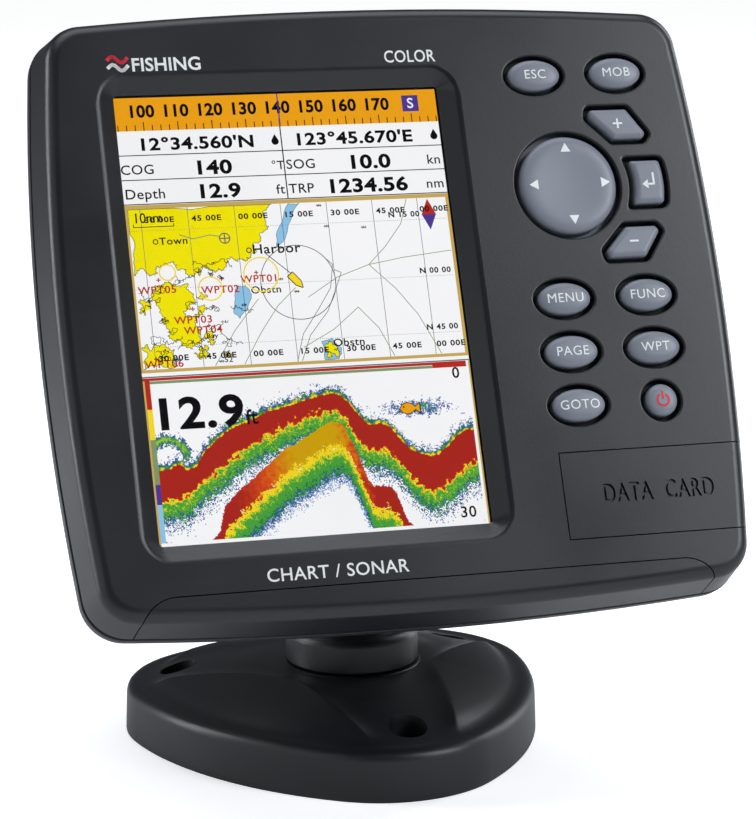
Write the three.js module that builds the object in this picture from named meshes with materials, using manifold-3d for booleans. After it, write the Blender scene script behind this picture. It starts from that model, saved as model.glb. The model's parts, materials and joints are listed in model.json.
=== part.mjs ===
// Bench-top chart plotter and fish finder: a display head with a keypad, hinged on a swivelling stem
// that turns in a three-lobed screw-down base. Millimetres, +Z up. The origin is the centre of the
// underside of the base, on the swivel axis. The display faces -Y and leans back.
import * as THREE from 'three';
import { mergeVertices } from 'three/addons/utils/BufferGeometryUtils.js';
import Module from 'manifold-3d';

const wasm = await Module();
wasm.setup();

// ---------------------------------------------------------------- driving dimensions
const GAP = 0.3; // clearance between neighbouring pieces
const LEAN = THREE.MathUtils.degToRad(25.6); // display leaning back from upright at rest
const HEAD_Y = -45; // display plane in front of the swivel axis, at mid height
const HEAD_Z = 126.5; // middle of the display above the floor
const PIVOT_Z = 68; // tilt bolt above the floor

// The head is drawn in its own frame: x across, u up the display, n out of the display. The picture
// lies near n = 0, and the front face stands in front of it.
const FACE_N = 3.6;
const PARTING_N = -10.9; // back edge of the front bezel
const GROOVE = 1.0; // shadow gap between bezel and rear case
const BACK_N = -48; // flat back of the rear case
const CASE_HALF_W = 88.6;
const CASE_HALF_H = 80;
const CASE_CORNER = 11;
const SIDE_BULGE_R = 640; // the sides are shallow arcs
const END_BULGE_R = 1000;
const DRAFT = 1.7; // the bezel narrows this much towards its face
const FACE_ROUND = 3.6; // roll-over from the side wall to the face
const BEZEL_WALL = 3.4;
const CASE_WALL = 2.5;

const SCREEN = { x: -24.9, u: 0, w: 83.6, h: 114 };
const SCREEN_SLOPE = 4.3; // run of the sloped wall round the picture
const PANEL_EDGE = 6.2; // how far the display module reaches past the picture
const WINDOW_T = 0.9;

const KEY_GAP = 1.2; // black gap round each key
const KEY_TOP_N = 4.7;
const KEY_FLANGE_TOP_N = -0.2;
const KEY_FLANGE_BOTTOM_N = -1.4;
const MAT_TOP_N = -2.8;
const MAT_T = 0.8;
const BOARD_T = 1.6;
const KEY_COLUMNS = { left: 42.6, right: 64.8 };
const OVAL_WELL = { a: 8.15, b: 5.35 };
const KEY_ROWS = { escape: 58.2, menu: -1.6, page: -15.5, goto: -29.4 };
const POWER_WELL_R = 5.35;
const CURSOR = { x: 47.8, u: 28.4, wellR: 14.2, r: 12.9, flangeR: 15 };

const DOOR = { left: 35.7, right: 95, top: -41.5, bottom: -63.3, t: 2.2 };
const CARD = { x: 57.5, u: -52.4, w: 24, t: 2.1, length: 32, frontN: 0.9 };
const TRIM = { halfW: 73.7, top: -70.3, corner: 9, t: 1.4 };

const CASE_SCREW = { x: 78, u: 69, headN: -20, tipN: -4, r: 1.5, headR: 3.2 };
const SOCKETS = { u: 30, spacing: 34, names: ['power', 'sounder', 'antenna'] };
const SOCKET = { outerR: 10.5, innerR: 8, depth: 13, collar: 3.5 };

const PLATE = { halfW: 26, bottom: -57, top: -8, t: 4.4 }; // mounting plate on the back of the case
const PLATE_SCREW = { x: 20, inset: 6, r: 1.9, headR: 3.5, headH: 2.4 };
const EAR = { inner: 9.1, t: 5, r: 12 };
const TONGUE_HALF_W = 7;
const KNUCKLE_R = 12;
const BOLT_R = 3;
const KNOB = { r: 13, h: 12, flutes: 7 };

const COLLAR = { r: 18, bottom: 21.2, top: 31 };
const NECK_R = 12;
const NECK_TOP = 47;
const SPIGOT_R = 10;
const SWIVEL_BOLT = { r: 4, headR: 7, headH: 5 };

const BASE_TURN = THREE.MathUtils.degToRad(5.3); // the base is screwed down turned a little
const BASE = {
  cornerAt: 26.1, cornerR: 34.5, mid: 52.2, wall: 12.6,
  floorZ: 14, domeZ: 20.9, hollow: 0.9, ridge: 1.2,
};
// The base reaches further behind its left corner, so its middle lies beside the swivel axis.
const BASE_MIDDLE = new THREE.Vector2(2, 0).rotateAround(new THREE.Vector2(), (5 * Math.PI) / 6 + BASE_TURN);
const BASE_HOLE = { at: 46.5, r: 2.5, headR: 5.2, seatZ: 5 };
const POCKET = { r: 24, top: 10 };
const PAD = { inset: 3, t: 1.5 };

// ---------------------------------------------------------------- materials
function plastic(color, roughness = 0.6) {
  return new THREE.MeshStandardMaterial({ color, roughness, metalness: 0 });
}
function metal(color, roughness = 0.35) {
  return new THREE.MeshStandardMaterial({ color, roughness, metalness: 1 });
}
const finish = {
  bezel: plastic(0x3d3f43, 0.55),
  case: plastic(0x34363a, 0.6),
  base: plastic(0x26272a, 0.65),
  key: plastic(0x7b8089, 0.5),
  rubber: plastic(0x141415, 0.85),
  window: plastic(0xcfd6d8, 0.1),
  panel: plastic(0xd8dcd2, 0.3),
  board: plastic(0x1d5a34, 0.5),
  part: plastic(0x1a1a1c, 0.5),
  steel: metal(0xb9bcc0),
  brass: metal(0xc9a44c),
};

// ---------------------------------------------------------------- outlines (lists of Vector2, anticlockwise)
function arc(cx, cy, r, from, to, steps, skipLast = false) {
  const count = skipLast ? steps : steps + 1;
  return Array.from({ length: count }, (_, i) => {
    const angle = from + ((to - from) * i) / steps;
    return new THREE.Vector2(cx + r * Math.cos(angle), cy + r * Math.sin(angle));
  });
}

function ellipse(cx, cy, a, b = a, steps = 16) {
  return Array.from({ length: steps }, (_, i) => {
    const angle = (i * 2 * Math.PI) / steps;
    return new THREE.Vector2(cx + a * Math.cos(angle), cy + b * Math.sin(angle));
  });
}

// A rectangle whose four sides are shallow arcs and whose corners are round.
function barrel(halfW, halfH, corner, sideSteps = 4, cornerSteps = 4) {
  let cx = halfW - corner;
  let cy = halfH - corner;
  for (let pass = 0; pass < 6; pass += 1) {
    cx = halfW - SIDE_BULGE_R + Math.sqrt((SIDE_BULGE_R - corner) ** 2 - cy ** 2);
    cy = halfH - END_BULGE_R + Math.sqrt((END_BULGE_R - corner) ** 2 - cx ** 2);
  }
  const sideAngle = Math.atan2(cy, cx - halfW + SIDE_BULGE_R);
  const endAngle = Math.atan2(cx, cy - halfH + END_BULGE_R);
  const quarter = Math.PI / 2;
  const side = arc(halfW - SIDE_BULGE_R, 0, SIDE_BULGE_R, -sideAngle, sideAngle, sideSteps, true);
  const turn = arc(cx, cy, corner, sideAngle, quarter - endAngle, cornerSteps, true);
  const end = arc(0, halfH - END_BULGE_R, END_BULGE_R, quarter - endAngle, quarter + endAngle, sideSteps, true);
  const turnBack = arc(-cx, cy, corner, quarter + endAngle, 2 * quarter - sideAngle, cornerSteps, true);
  const half = [...side, ...turn, ...end, ...turnBack];
  return [...half, ...half.map((p) => new THREE.Vector2(-p.x, -p.y))];
}

function rectangle(x0, x1, y0, y1) {
  return [[x0, y0], [x1, y0], [x1, y1], [x0, y1]].map(([x, y]) => new THREE.Vector2(x, y));
}

// Moves every edge of a polygon outwards by d.
function grow(points, d) {
  return points.map((p, i) => {
    const before = points[(i + points.length - 1) % points.length];
    const after = points[(i + 1) % points.length];
    const e1 = p.clone().sub(before).normalize();
    const e2 = after.clone().sub(p).normalize();
    const n1 = new THREE.Vector2(e1.y, -e1.x);
    const n2 = new THREE.Vector2(e2.y, -e2.x);
    const k = d / (1 + n1.dot(n2));
    return p.clone().add(n1.add(n2).multiplyScalar(k));
  });
}

// Rounds every corner of a polygon with an arc of radius r.
function rounded(points, r, steps = 3) {
  return points.flatMap((p, i) => {
    const before = points[(i + points.length - 1) % points.length];
    const after = points[(i + 1) % points.length];
    const a = before.clone().sub(p).normalize();
    const b = after.clone().sub(p).normalize();
    const half = Math.acos(THREE.MathUtils.clamp(a.dot(b), -1, 1)) / 2;
    const centre = p.clone().add(a.clone().add(b).normalize().multiplyScalar(r / Math.sin(half)));
    const start = p.clone().add(a.multiplyScalar(r / Math.tan(half))).sub(centre);
    const end = p.clone().add(b.multiplyScalar(r / Math.tan(half))).sub(centre);
    const sweep = Math.atan2(start.cross(end), start.dot(end));
    const from = Math.atan2(start.y, start.x);
    return arc(centre.x, centre.y, r, from, from + sweep, steps);
  });
}

// ---------------------------------------------------------------- solids
// Joins rings of equal length, lowest first, into one closed skin with a flat cap at each end.
function skin(rings) {
  const count = rings[0].length;
  const positions = rings.flat().flatMap((p) => [p.x, p.y, p.z]);
  const index = [];
  for (let k = 0; k < rings.length - 1; k += 1) {
    for (let i = 0; i < count; i += 1) {
      const j = (i + 1) % count;
      const [a, b] = [k * count + i, k * count + j];
      index.push(a, b, b + count, a, b + count, a + count);
    }
  }
  const flat = (ring) => ring.map((p) => new THREE.Vector2(p.x, p.y));
  const last = (rings.length - 1) * count;
  THREE.ShapeUtils.triangulateShape(flat(rings[0]), []).forEach(([a, b, c]) => index.push(a, c, b));
  THREE.ShapeUtils.triangulateShape(flat(rings.at(-1)), [])
    .forEach(([a, b, c]) => index.push(last + a, last + b, last + c));
  const geometry = new THREE.BufferGeometry();
  geometry.setAttribute('position', new THREE.Float32BufferAttribute(positions, 3));
  geometry.setIndex(index);
  return geometry;
}

// A loft through flat outlines: each section is [height, outline].
function loft(sections) {
  return skin(sections.map(([z, outline]) => outline.map((p) => new THREE.Vector3(p.x, p.y, z))));
}

function prism(outline, z0, z1) {
  return loft([[z0, outline], [z1, outline]]);
}

function box(x0, x1, y0, y1, z0, z1) {
  const geometry = new THREE.BoxGeometry(x1 - x0, y1 - y0, z1 - z0);
  return geometry.translate((x0 + x1) / 2, (y0 + y1) / 2, (z0 + z1) / 2);
}

// A round piece about a line parallel to z: profile points are [radius, height].
function turned(profile, x = 0, y = 0, steps = 16) {
  const points = profile.map(([r, z]) => new THREE.Vector2(r, z));
  return new THREE.LatheGeometry(points, steps).rotateX(Math.PI / 2).translate(x, y, 0);
}

function rod(x, y, r, z0, z1, steps = 16) {
  return turned([[0, z0], [r, z0], [r, z1], [0, z1]], x, y, steps);
}

function ring(x, y, inner, outer, z0, z1, steps = 18) {
  return turned([[inner, z0], [outer, z0], [outer, z1], [inner, z1], [inner, z0]], x, y, steps);
}

// Turns a piece drawn along z so that it lies along x, with its own z as x.
function alongX(geometry) {
  return geometry.rotateY(Math.PI / 2);
}

function manifold(geometry) {
  const bare = geometry.clone();
  bare.deleteAttribute('normal');
  bare.deleteAttribute('uv');
  const merged = mergeVertices(bare, 1e-4);
  const mesh = new wasm.Mesh({
    numProp: 3,
    vertProperties: new Float32Array(merged.attributes.position.array),
    triVerts: new Uint32Array(merged.index.array),
  });
  return new wasm.Manifold(mesh);
}

function cut(body, ...tools) {
  return tools.reduce((rest, tool) => rest.subtract(manifold(tool)), body);
}

function joined(body, ...pieces) {
  return pieces.reduce((sum, piece) => sum.add(manifold(piece)), body);
}

function geometryOf(body) {
  const mesh = body.getMesh();
  const geometry = new THREE.BufferGeometry();
  geometry.setAttribute('position', new THREE.Float32BufferAttribute(mesh.vertProperties, 3));
  geometry.setIndex(Array.from(mesh.triVerts));
  return geometry;
}

function add(parent, name, shape, material) {
  const geometry = shape.isBufferGeometry ? shape : geometryOf(shape);
  geometry.computeVertexNormals();
  const mesh = new THREE.Mesh(geometry, material);
  mesh.name = name;
  parent.add(mesh);
  return mesh;
}

// ---------------------------------------------------------------- mounting base
// Outline of the base: three round corners joined by bowed sides, drawn in by an inset.
function baseOutline(inset, steps = 4) {
  const { cornerAt, cornerR, mid } = BASE;
  const near = cornerAt / 2 - mid;
  const sideR = (cornerR ** 2 - 0.75 * cornerAt ** 2 - near ** 2) / (2 * (near + cornerR));
  const spread = Math.atan2(cornerAt * Math.sin(Math.PI / 3), cornerAt / 2 + sideR - mid);
  const third = (2 * Math.PI) / 3;
  return [0, 1, 2].flatMap((k) => {
    const corner = BASE_TURN - Math.PI / 2 + k * third;
    const side = corner + Math.PI / 3;
    const turn = Math.PI / 3 - spread;
    const [cx, cy] = [cornerAt * Math.cos(corner), cornerAt * Math.sin(corner)];
    const [sx, sy] = [(mid - sideR) * Math.cos(side), (mid - sideR) * Math.sin(side)];
    return [
      ...arc(cx, cy, cornerR - inset, corner - turn, corner + turn, 2 * steps, true),
      ...arc(sx, sy, sideR - inset, side - spread, side + spread, steps, true),
    ];
  }).map((p) => p.add(BASE_MIDDLE));
}

// Height of the base's top at a point: a low dome with a hollow round each screw, and a ridge where
// the hollow meets the dome.
function baseHeight(p, f) {
  const r = p.distanceTo(BASE_MIDDLE);
  const third = (2 * Math.PI) / 3;
  const angle = p.clone().sub(BASE_MIDDLE).angle() + Math.PI / 2 - BASE_TURN;
  const off = Math.abs(angle - third * Math.round(angle / third));
  const sideways = r * Math.sin(off);
  const { smoothstep, lerp, clamp } = THREE.MathUtils;
  const { floorZ, domeZ, hollow, ridge } = BASE;
  const dome = floorZ + (domeZ - floorZ) * (1 - Math.min(1, f / 0.93) ** 3.8);
  const strength = smoothstep(f, 0.4, 0.6) * (1 - smoothstep(f, 0.86, 0.97));
  const edge = lerp(19, 12, clamp((f - 0.35) / 0.6, 0, 1));
  if (sideways > edge) return dome + strength * ridge * Math.exp((edge - sideways) / 14);
  return dome + strength * ((hollow + ridge) * (sideways / edge) ** 4 - hollow);
}

function baseScrewPlaces() {
  return [0, 1, 2].map((k) => {
    const angle = BASE_TURN - Math.PI / 2 + (k * 2 * Math.PI) / 3;
    return [
      BASE_MIDDLE.x + BASE_HOLE.at * Math.cos(angle),
      BASE_MIDDLE.y + BASE_HOLE.at * Math.sin(angle),
    ];
  });
}

function mountingBase() {
  const flat = (outline, z) => outline.map((p) => new THREE.Vector3(p.x, p.y, z));
  const top = baseOutline(3);
  const domed = [0.9, 0.79, 0.68, 0.56, 0.44, 0.32].map((f) => top.map((p) => {
    const q = BASE_MIDDLE.clone().lerp(p, f);
    return new THREE.Vector3(q.x, q.y, baseHeight(q, f));
  }));
  const rings = [
    flat(baseOutline(0), 0),
    flat(baseOutline(0.5), BASE.wall),
    flat(baseOutline(1.3), BASE.wall + 1),
    flat(top, BASE.wall + 1.6),
    ...domed,
  ];
  let body = cut(
    manifold(skin(rings)),
    rod(0, 0, SPIGOT_R + GAP, 0, 30),
    rod(0, 0, POCKET.r, -1, POCKET.top, 24),
    prism(baseOutline(PAD.inset - GAP), -1, PAD.t + GAP),
  );
  baseScrewPlaces().forEach(([x, y]) => {
    body = cut(body, rod(x, y, BASE_HOLE.r, -1, 30), rod(x, y, BASE_HOLE.headR, BASE_HOLE.seatZ, 30));
  });
  return body;
}

function basePad() {
  let body = manifold(prism(baseOutline(PAD.inset), 0, PAD.t));
  baseScrewPlaces().forEach(([x, y]) => {
    body = cut(body, rod(x, y, BASE_HOLE.r, -1, 30));
  });
  return body;
}

// ---------------------------------------------------------------- swivel stem
function swivelStem() {
  const column = turned([
    [0, POCKET.top + GAP], [SPIGOT_R, POCKET.top + GAP], [SPIGOT_R, COLLAR.bottom],
    [COLLAR.r, COLLAR.bottom], [COLLAR.r, COLLAR.top - 1.5], [COLLAR.r - 1.5, COLLAR.top],
    [NECK_R, COLLAR.top], [NECK_R, NECK_TOP], [0, NECK_TOP],
  ], 0, 0, 24);
  const w = TONGUE_HALF_W;
  const eye = alongX(rod(0, 0, KNUCKLE_R, -w, w, 20)).translate(0, 0, PIVOT_Z);
  const web = box(-w, w, -KNUCKLE_R + 0.5, KNUCKLE_R - 0.5, NECK_TOP - 2, PIVOT_Z);
  const bore = alongX(rod(0, 0, BOLT_R + GAP, -w - 1, w + 1, 12)).translate(0, 0, PIVOT_Z);
  const thread = rod(0, 0, SWIVEL_BOLT.r + GAP, 0, NECK_TOP - 8, 12);
  return cut(joined(manifold(column), eye, web), bore, thread);
}

function swivelBolt() {
  const { r, headR, headH } = SWIVEL_BOLT;
  const top = POCKET.top - GAP - 1.6 - GAP;
  const head = prism(ellipse(0, 0, headR, headR, 6), top - headH, top);
  return joined(manifold(head), rod(0, 0, r, top - 1, NECK_TOP - 9, 12));
}

// ---------------------------------------------------------------- display head
// The bezel's outer skin drawn in by d all round and at the face.
function bezelSkin(d) {
  const at = (n, inset) => [
    n, barrel(CASE_HALF_W - inset - d, CASE_HALF_H - inset - d, Math.max(CASE_CORNER - inset * 0.7 - d, 3)),
  ];
  const round = [0, 0.5, 1].map((k) => {
    const angle = (k * Math.PI) / 2;
    return at(FACE_N - d - FACE_ROUND * (1 - Math.sin(angle)), DRAFT + FACE_ROUND * (1 - Math.cos(angle)));
  });
  return loft([at(PARTING_N - (d > 0 ? 1 : 0), 0), ...round]);
}

function keyWells() {
  const { left, right } = KEY_COLUMNS;
  const oval = (x, u) => (d) => ellipse(x, u, OVAL_WELL.a + d, OVAL_WELL.b + d);
  const slanted = [[-8.3, 5.3], [-9.1, 1.8], [-2.4, -5.2], [6.7, -5.2], [8.7, -2.7], [3.2, 5.3]];
  const wedge = (u, flip) => {
    const corners = slanted.map(([x, y]) => new THREE.Vector2(right - 1.2 + x, u + y * flip));
    if (flip < 0) corners.reverse();
    return (d) => rounded(grow(corners, d), 1.75 + d * 0.6);
  };
  const enter = (d) => {
    const [inner, outer, half] = [16.9 - d, 27.3 + d, 7 + d];
    const reach = (r) => Math.asin(half / r);
    const sides = [
      ...arc(CURSOR.x, CURSOR.u, outer, -reach(outer), reach(outer), 4),
      ...arc(CURSOR.x, CURSOR.u, inner, reach(inner), -reach(inner), 4),
    ];
    return sides;
  };
  return {
    key_escape: oval(left, KEY_ROWS.escape),
    key_man_overboard: oval(right, KEY_ROWS.escape),
    key_zoom_in: wedge(44.2, 1),
    key_enter: enter,
    key_zoom_out: wedge(2 * CURSOR.u - 44.2, -1),
    key_menu: oval(left, KEY_ROWS.menu),
    key_function: oval(right, KEY_ROWS.menu),
    key_page: oval(left, KEY_ROWS.page),
    key_waypoint: oval(right, KEY_ROWS.page),
    key_goto: oval(left, KEY_ROWS.goto),
    key_power: (d) => ellipse(right, KEY_ROWS.goto, POWER_WELL_R + d),
  };
}

function screwPlaces({ x, u }) {
  return [[-x, u], [x, u], [-x, -u], [x, -u]];
}

function doorPrism(d) {
  return prism(rectangle(DOOR.left - d, DOOR.right, DOOR.bottom - d, DOOR.top + d), PARTING_N + 1 - d, FACE_N + 5);
}

function trimPrism(d) {
  const { halfW, top, corner } = TRIM;
  const outline = [
    new THREE.Vector2(-halfW - d, -100),
    new THREE.Vector2(halfW + d, -100),
    ...arc(halfW - corner, top - corner, corner + d, 0, Math.PI / 2, 5),
    ...arc(-halfW + corner, top - corner, corner + d, Math.PI / 2, Math.PI, 5),
  ];
  return prism(outline, PARTING_N - 2, FACE_N + 5);
}

function screenFrame(grown, corner) {
  const { x, u, w, h } = SCREEN;
  return rounded(rectangle(x - w / 2 - grown, x + w / 2 + grown, u - h / 2 - grown, u + h / 2 + grown), corner, 5);
}

function frontBezel(wells) {
  const inner = FACE_N - BEZEL_WALL;
  const screenCut = loft([
    [inner - 1, screenFrame(0.2, 1)],
    [inner, screenFrame(0.2, 1)],
    [FACE_N + 0.01, screenFrame(SCREEN_SLOPE, 7.5)],
    [FACE_N + 2, screenFrame(SCREEN_SLOPE, 7.5)],
  ]);
  let body = manifold(bezelSkin(0)).subtract(manifold(bezelSkin(BEZEL_WALL)));
  screwPlaces(CASE_SCREW).forEach(([x, u]) => {
    body = joined(body, rod(x, u, 4, PARTING_N, inner + 0.5, 10));
    body = cut(body, rod(x, u, CASE_SCREW.r + GAP, PARTING_N - 1, CASE_SCREW.tipN + 1, 8));
  });
  body = cut(body, screenCut, prism(ellipse(CURSOR.x, CURSOR.u, CURSOR.wellR, CURSOR.wellR, 24), -2, 8));
  Object.values(wells).forEach((well) => {
    body = cut(body, prism(well(0), -2, 8));
  });
  const doorSeat = manifold(doorPrism(GAP)).subtract(manifold(bezelSkin(DOOR.t + GAP)));
  const trimSeat = manifold(trimPrism(GAP)).subtract(manifold(bezelSkin(TRIM.t + GAP)));
  const hatch = box(CARD.x - 16, CARD.x + 16, CARD.u - 7, CARD.u + 7, -2, FACE_N);
  return cut(body.subtract(doorSeat).subtract(trimSeat), hatch);
}

function cardDoor() {
  return manifold(doorPrism(0)).intersect(manifold(bezelSkin(0))).subtract(manifold(bezelSkin(DOOR.t)));
}

function lowerTrim() {
  return manifold(trimPrism(0)).intersect(manifold(bezelSkin(0))).subtract(manifold(bezelSkin(TRIM.t)));
}

function rearCaseSkin(d) {
  const front = PARTING_N - GROOVE;
  const sections = [
    [front + (d > 0 ? 1 : 0), 0], [front - 3.5, 0], [front - 8, 1.3], [front - 14, 5.3],
    [BACK_N + 6, 16.2], [BACK_N + 1.5, 19.8], [BACK_N, 22.4],
  ];
  const outlines = sections.map(([n, inset]) => [
    n < front - 30 ? n + d : n,
    barrel(CASE_HALF_W + 0.3 - inset - d, CASE_HALF_H + 0.3 - inset - d, CASE_CORNER + inset * 0.5 - d * 0.6),
  ]);
  return loft(outlines.reverse());
}

function socketPlaces() {
  return SOCKETS.names.map((name, i) => [name, (i - 1) * SOCKETS.spacing, SOCKETS.u]);
}

function plateScrewPlaces() {
  const { x, inset } = PLATE_SCREW;
  return [[-x, PLATE.top - inset], [x, PLATE.top - inset], [-x, PLATE.bottom + inset], [x, PLATE.bottom + inset]];
}

function rearCase() {
  const outer = manifold(rearCaseSkin(0));
  let body = outer.subtract(manifold(rearCaseSkin(CASE_WALL)));
  screwPlaces(CASE_SCREW).forEach(([x, u]) => {
    const boss = manifold(rod(x, u, 6, BACK_N, PARTING_N - GROOVE, 10)).intersect(outer);
    body = cut(
      body.add(boss),
      rod(x, u, CASE_SCREW.r + GAP, BACK_N, 0, 8),
      rod(x, u, CASE_SCREW.headR + 0.8, BACK_N - 1, CASE_SCREW.headN, 12),
    );
  });
  plateScrewPlaces().forEach(([x, u]) => {
    body = joined(body, rod(x, u, 4.5, BACK_N + 1, BACK_N + 8, 8));
    body = cut(body, rod(x, u, PLATE_SCREW.r + GAP, BACK_N - 1, BACK_N + 7, 8));
  });
  socketPlaces().forEach(([, x, u]) => {
    body = cut(body, rod(x, u, SOCKET.outerR + GAP - 1.5, BACK_N - 1, BACK_N + 6, 16));
  });
  return body;
}

function caseGasket() {
  const ringOutline = (inset) => barrel(CASE_HALF_W - inset, CASE_HALF_H - inset, CASE_CORNER - inset * 0.7);
  const [n0, n1] = [PARTING_N - GROOVE + GAP, PARTING_N - GAP];
  const body = manifold(prism(ringOutline(1.2), n0, n1));
  return cut(body, prism(ringOutline(2.4), n0 - 1, n1 + 1));
}

function keyCap(well) {
  const cap = loft([
    [KEY_FLANGE_TOP_N - 0.4, well(-KEY_GAP)],
    [FACE_N - 0.2, well(-KEY_GAP)],
    [KEY_TOP_N - 0.3, well(-KEY_GAP - 0.3)],
    [KEY_TOP_N, well(-KEY_GAP - 0.8)],
  ]);
  return joined(manifold(cap), prism(well(0.8), KEY_FLANGE_BOTTOM_N, KEY_FLANGE_TOP_N));
}

function cursorPad() {
  const { x, u, r, flangeR } = CURSOR;
  return turned([
    [0, -1.5], [flangeR, -1.5], [flangeR, -0.8], [r, -0.8], [r, 3.4], [r - 0.8, 4.4], [r - 3, 5],
    [0, 5.2],
  ], x, u, 24);
}

function screw(x, u, r, tip, seat, headR, headH) {
  return turned([
    [0, tip], [r, tip - 0.8], [r, seat], [headR, seat], [headR, seat - headH * 0.6],
    [headR * 0.6, seat - headH], [0, seat - headH],
  ].reverse(), x, u, 10);
}

function rearBracket() {
  const n1 = BACK_N - GAP;
  const n0 = n1 - PLATE.t;
  const plate = rounded(rectangle(-PLATE.halfW, PLATE.halfW, PLATE.bottom, PLATE.top), 5, 4);
  let body = manifold(prism(plate, n0, n1));
  const [u, n] = headPoint(0, PIVOT_Z);
  [-1, 1].forEach((side) => {
    const [x0, x1] = side > 0 ? [EAR.inner, EAR.inner + EAR.t] : [-EAR.inner - EAR.t, -EAR.inner];
    const eye = alongX(rod(0, 0, EAR.r, x0, x1, 20)).translate(0, u, n);
    body = joined(body, eye, box(x0, x1, u - EAR.r + 0.5, u + EAR.r - 0.5, n, n0 + 1));
    body = cut(body, alongX(rod(0, 0, BOLT_R + GAP, x0 - 1, x1 + 1, 12)).translate(0, u, n));
  });
  plateScrewPlaces().forEach(([x, y]) => {
    body = cut(body, rod(x, y, PLATE_SCREW.r + GAP, n0 - 1, n1 + 1, 8));
  });
  return body;
}

// A place in the vertical plane through the swivel axis, given in the head's own u and n.
function headPoint(y, z) {
  const [dy, dz] = [y - HEAD_Y, z - HEAD_Z];
  return [dy * Math.sin(LEAN) + dz * Math.cos(LEAN), dz * Math.sin(LEAN) - dy * Math.cos(LEAN)];
}

function tiltKnob() {
  const lobed = (r) => Array.from({ length: KNOB.flutes * 4 }, (_, i) => {
    const angle = (i * 2 * Math.PI) / (KNOB.flutes * 4);
    const radius = r - 1.4 * (0.5 - 0.5 * Math.cos(KNOB.flutes * angle));
    return new THREE.Vector2(radius * Math.cos(angle), radius * Math.sin(angle));
  });
  const x0 = EAR.inner + EAR.t + GAP;
  const body = manifold(loft([
    [x0, lobed(9)], [x0 + 2, lobed(KNOB.r)], [x0 + KNOB.h - 1.5, lobed(KNOB.r)], [x0 + KNOB.h, lobed(KNOB.r - 1.5)],
  ]));
  return cut(body, rod(0, 0, BOLT_R + GAP, x0 - 1, x0 + KNOB.h - 3, 12));
}

function socketShell(x, u) {
  const { outerR, innerR, depth, collar } = SOCKET;
  const floor = BACK_N + depth - collar;
  return turned([
    [0, floor + 2], [outerR - 1.5, floor + 2], [outerR - 1.5, BACK_N - GAP], [outerR, BACK_N - GAP],
    [outerR, BACK_N - collar + 0.6], [outerR - 0.6, BACK_N - collar], [innerR, BACK_N - collar],
    [innerR, floor], [0, floor],
  ].reverse(), x, u, 16);
}

function socketPins(x, u, count) {
  const floor = BACK_N + SOCKET.depth - SOCKET.collar;
  let body = manifold(rod(x, u, SOCKET.innerR - GAP, floor - GAP - 2, floor - GAP, 16));
  for (let i = 0; i < count; i += 1) {
    const angle = (i * 2 * Math.PI) / count;
    const [px, pu] = [x + 4 * Math.cos(angle), u + 4 * Math.sin(angle)];
    body = joined(body, rod(px, pu, 0.7, floor - 5.5, floor - 1, 6));
  }
  return body;
}

// ---------------------------------------------------------------- assembly
const fishFinder = new THREE.Group();

add(fishFinder, 'mounting_base', mountingBase(), finish.base);
add(fishFinder, 'base_pad', basePad(), finish.rubber);

add(fishFinder, 'swivel_stem', swivelStem(), finish.base);
const washerTop = POCKET.top - GAP;
add(fishFinder, 'swivel_washer', ring(0, 0, SWIVEL_BOLT.r + GAP, 14, washerTop - 1.6, washerTop), finish.steel);
add(fishFinder, 'swivel_bolt', swivelBolt(), finish.steel);
[['left', -1], ['right', 1]].forEach(([side, sign]) => {
  const x0 = sign > 0 ? TONGUE_HALF_W + GAP : -EAR.inner + GAP;
  const disc = alongX(ring(0, 0, BOLT_R + GAP, KNUCKLE_R - 1, x0, x0 + 1.5)).translate(0, 0, PIVOT_Z);
  add(fishFinder, `friction_disc_${side}`, disc, finish.rubber);
});

const head = new THREE.Group();
head.position.set(0, HEAD_Y, HEAD_Z);
head.rotation.x = Math.PI / 2 - LEAN;
fishFinder.add(head);

const wells = keyWells();
add(head, 'front_bezel', frontBezel(wells), finish.bezel);
add(head, 'lower_trim', lowerTrim(), finish.bezel);
add(head, 'rear_case', rearCase(), finish.case);
add(head, 'case_gasket', caseGasket(), finish.rubber);
screwPlaces(CASE_SCREW).forEach(([x, u], i) => {
  const { r, tipN, headN, headR } = CASE_SCREW;
  add(head, `case_screw_${i + 1}`, screw(x, u, r, tipN, headN - GAP, headR, 2.2), finish.steel);
});

// Display
const windowTop = FACE_N - BEZEL_WALL - GAP;
const windowBottom = windowTop - WINDOW_T;
add(head, 'display_window', prism(screenFrame(3, 2), windowBottom, windowTop), finish.window);
const gasket = cut(
  manifold(prism(screenFrame(5, 3), windowBottom, windowTop)),
  prism(screenFrame(3 + GAP, 2 + GAP), windowBottom - 1, windowTop + 1),
);
add(head, 'window_gasket', gasket, finish.rubber);
const panelTop = windowBottom - GAP;
const panelBottom = panelTop - 3.5;
add(head, 'lcd_panel', prism(screenFrame(PANEL_EDGE, 1), panelBottom, panelTop), finish.panel);
const lightTop = panelBottom - GAP;
add(head, 'backlight_unit', prism(screenFrame(PANEL_EDGE, 1), lightTop - 6, lightTop), finish.part);

// Keypad
const [padLeft, padRight, padBottom, padTop] = [30.5, 78, -37.5, 64.6];
const sheetOutline = rounded(rectangle(padLeft, padRight, padBottom, padTop), 3);
add(head, 'keypad_mat', prism(sheetOutline, MAT_TOP_N - MAT_T, MAT_TOP_N), finish.rubber);
const boardTop = MAT_TOP_N - MAT_T - GAP;
add(head, 'keypad_board', prism(sheetOutline, boardTop - BOARD_T, boardTop), finish.board);
Object.entries(wells).forEach(([name, well]) => add(head, name, keyCap(well), finish.key));
add(head, 'cursor_pad', cursorPad(), finish.key);
add(head, 'cursor_rocker', rod(CURSOR.x, CURSOR.u, 5, -2.3, -1.8), finish.part);

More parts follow.
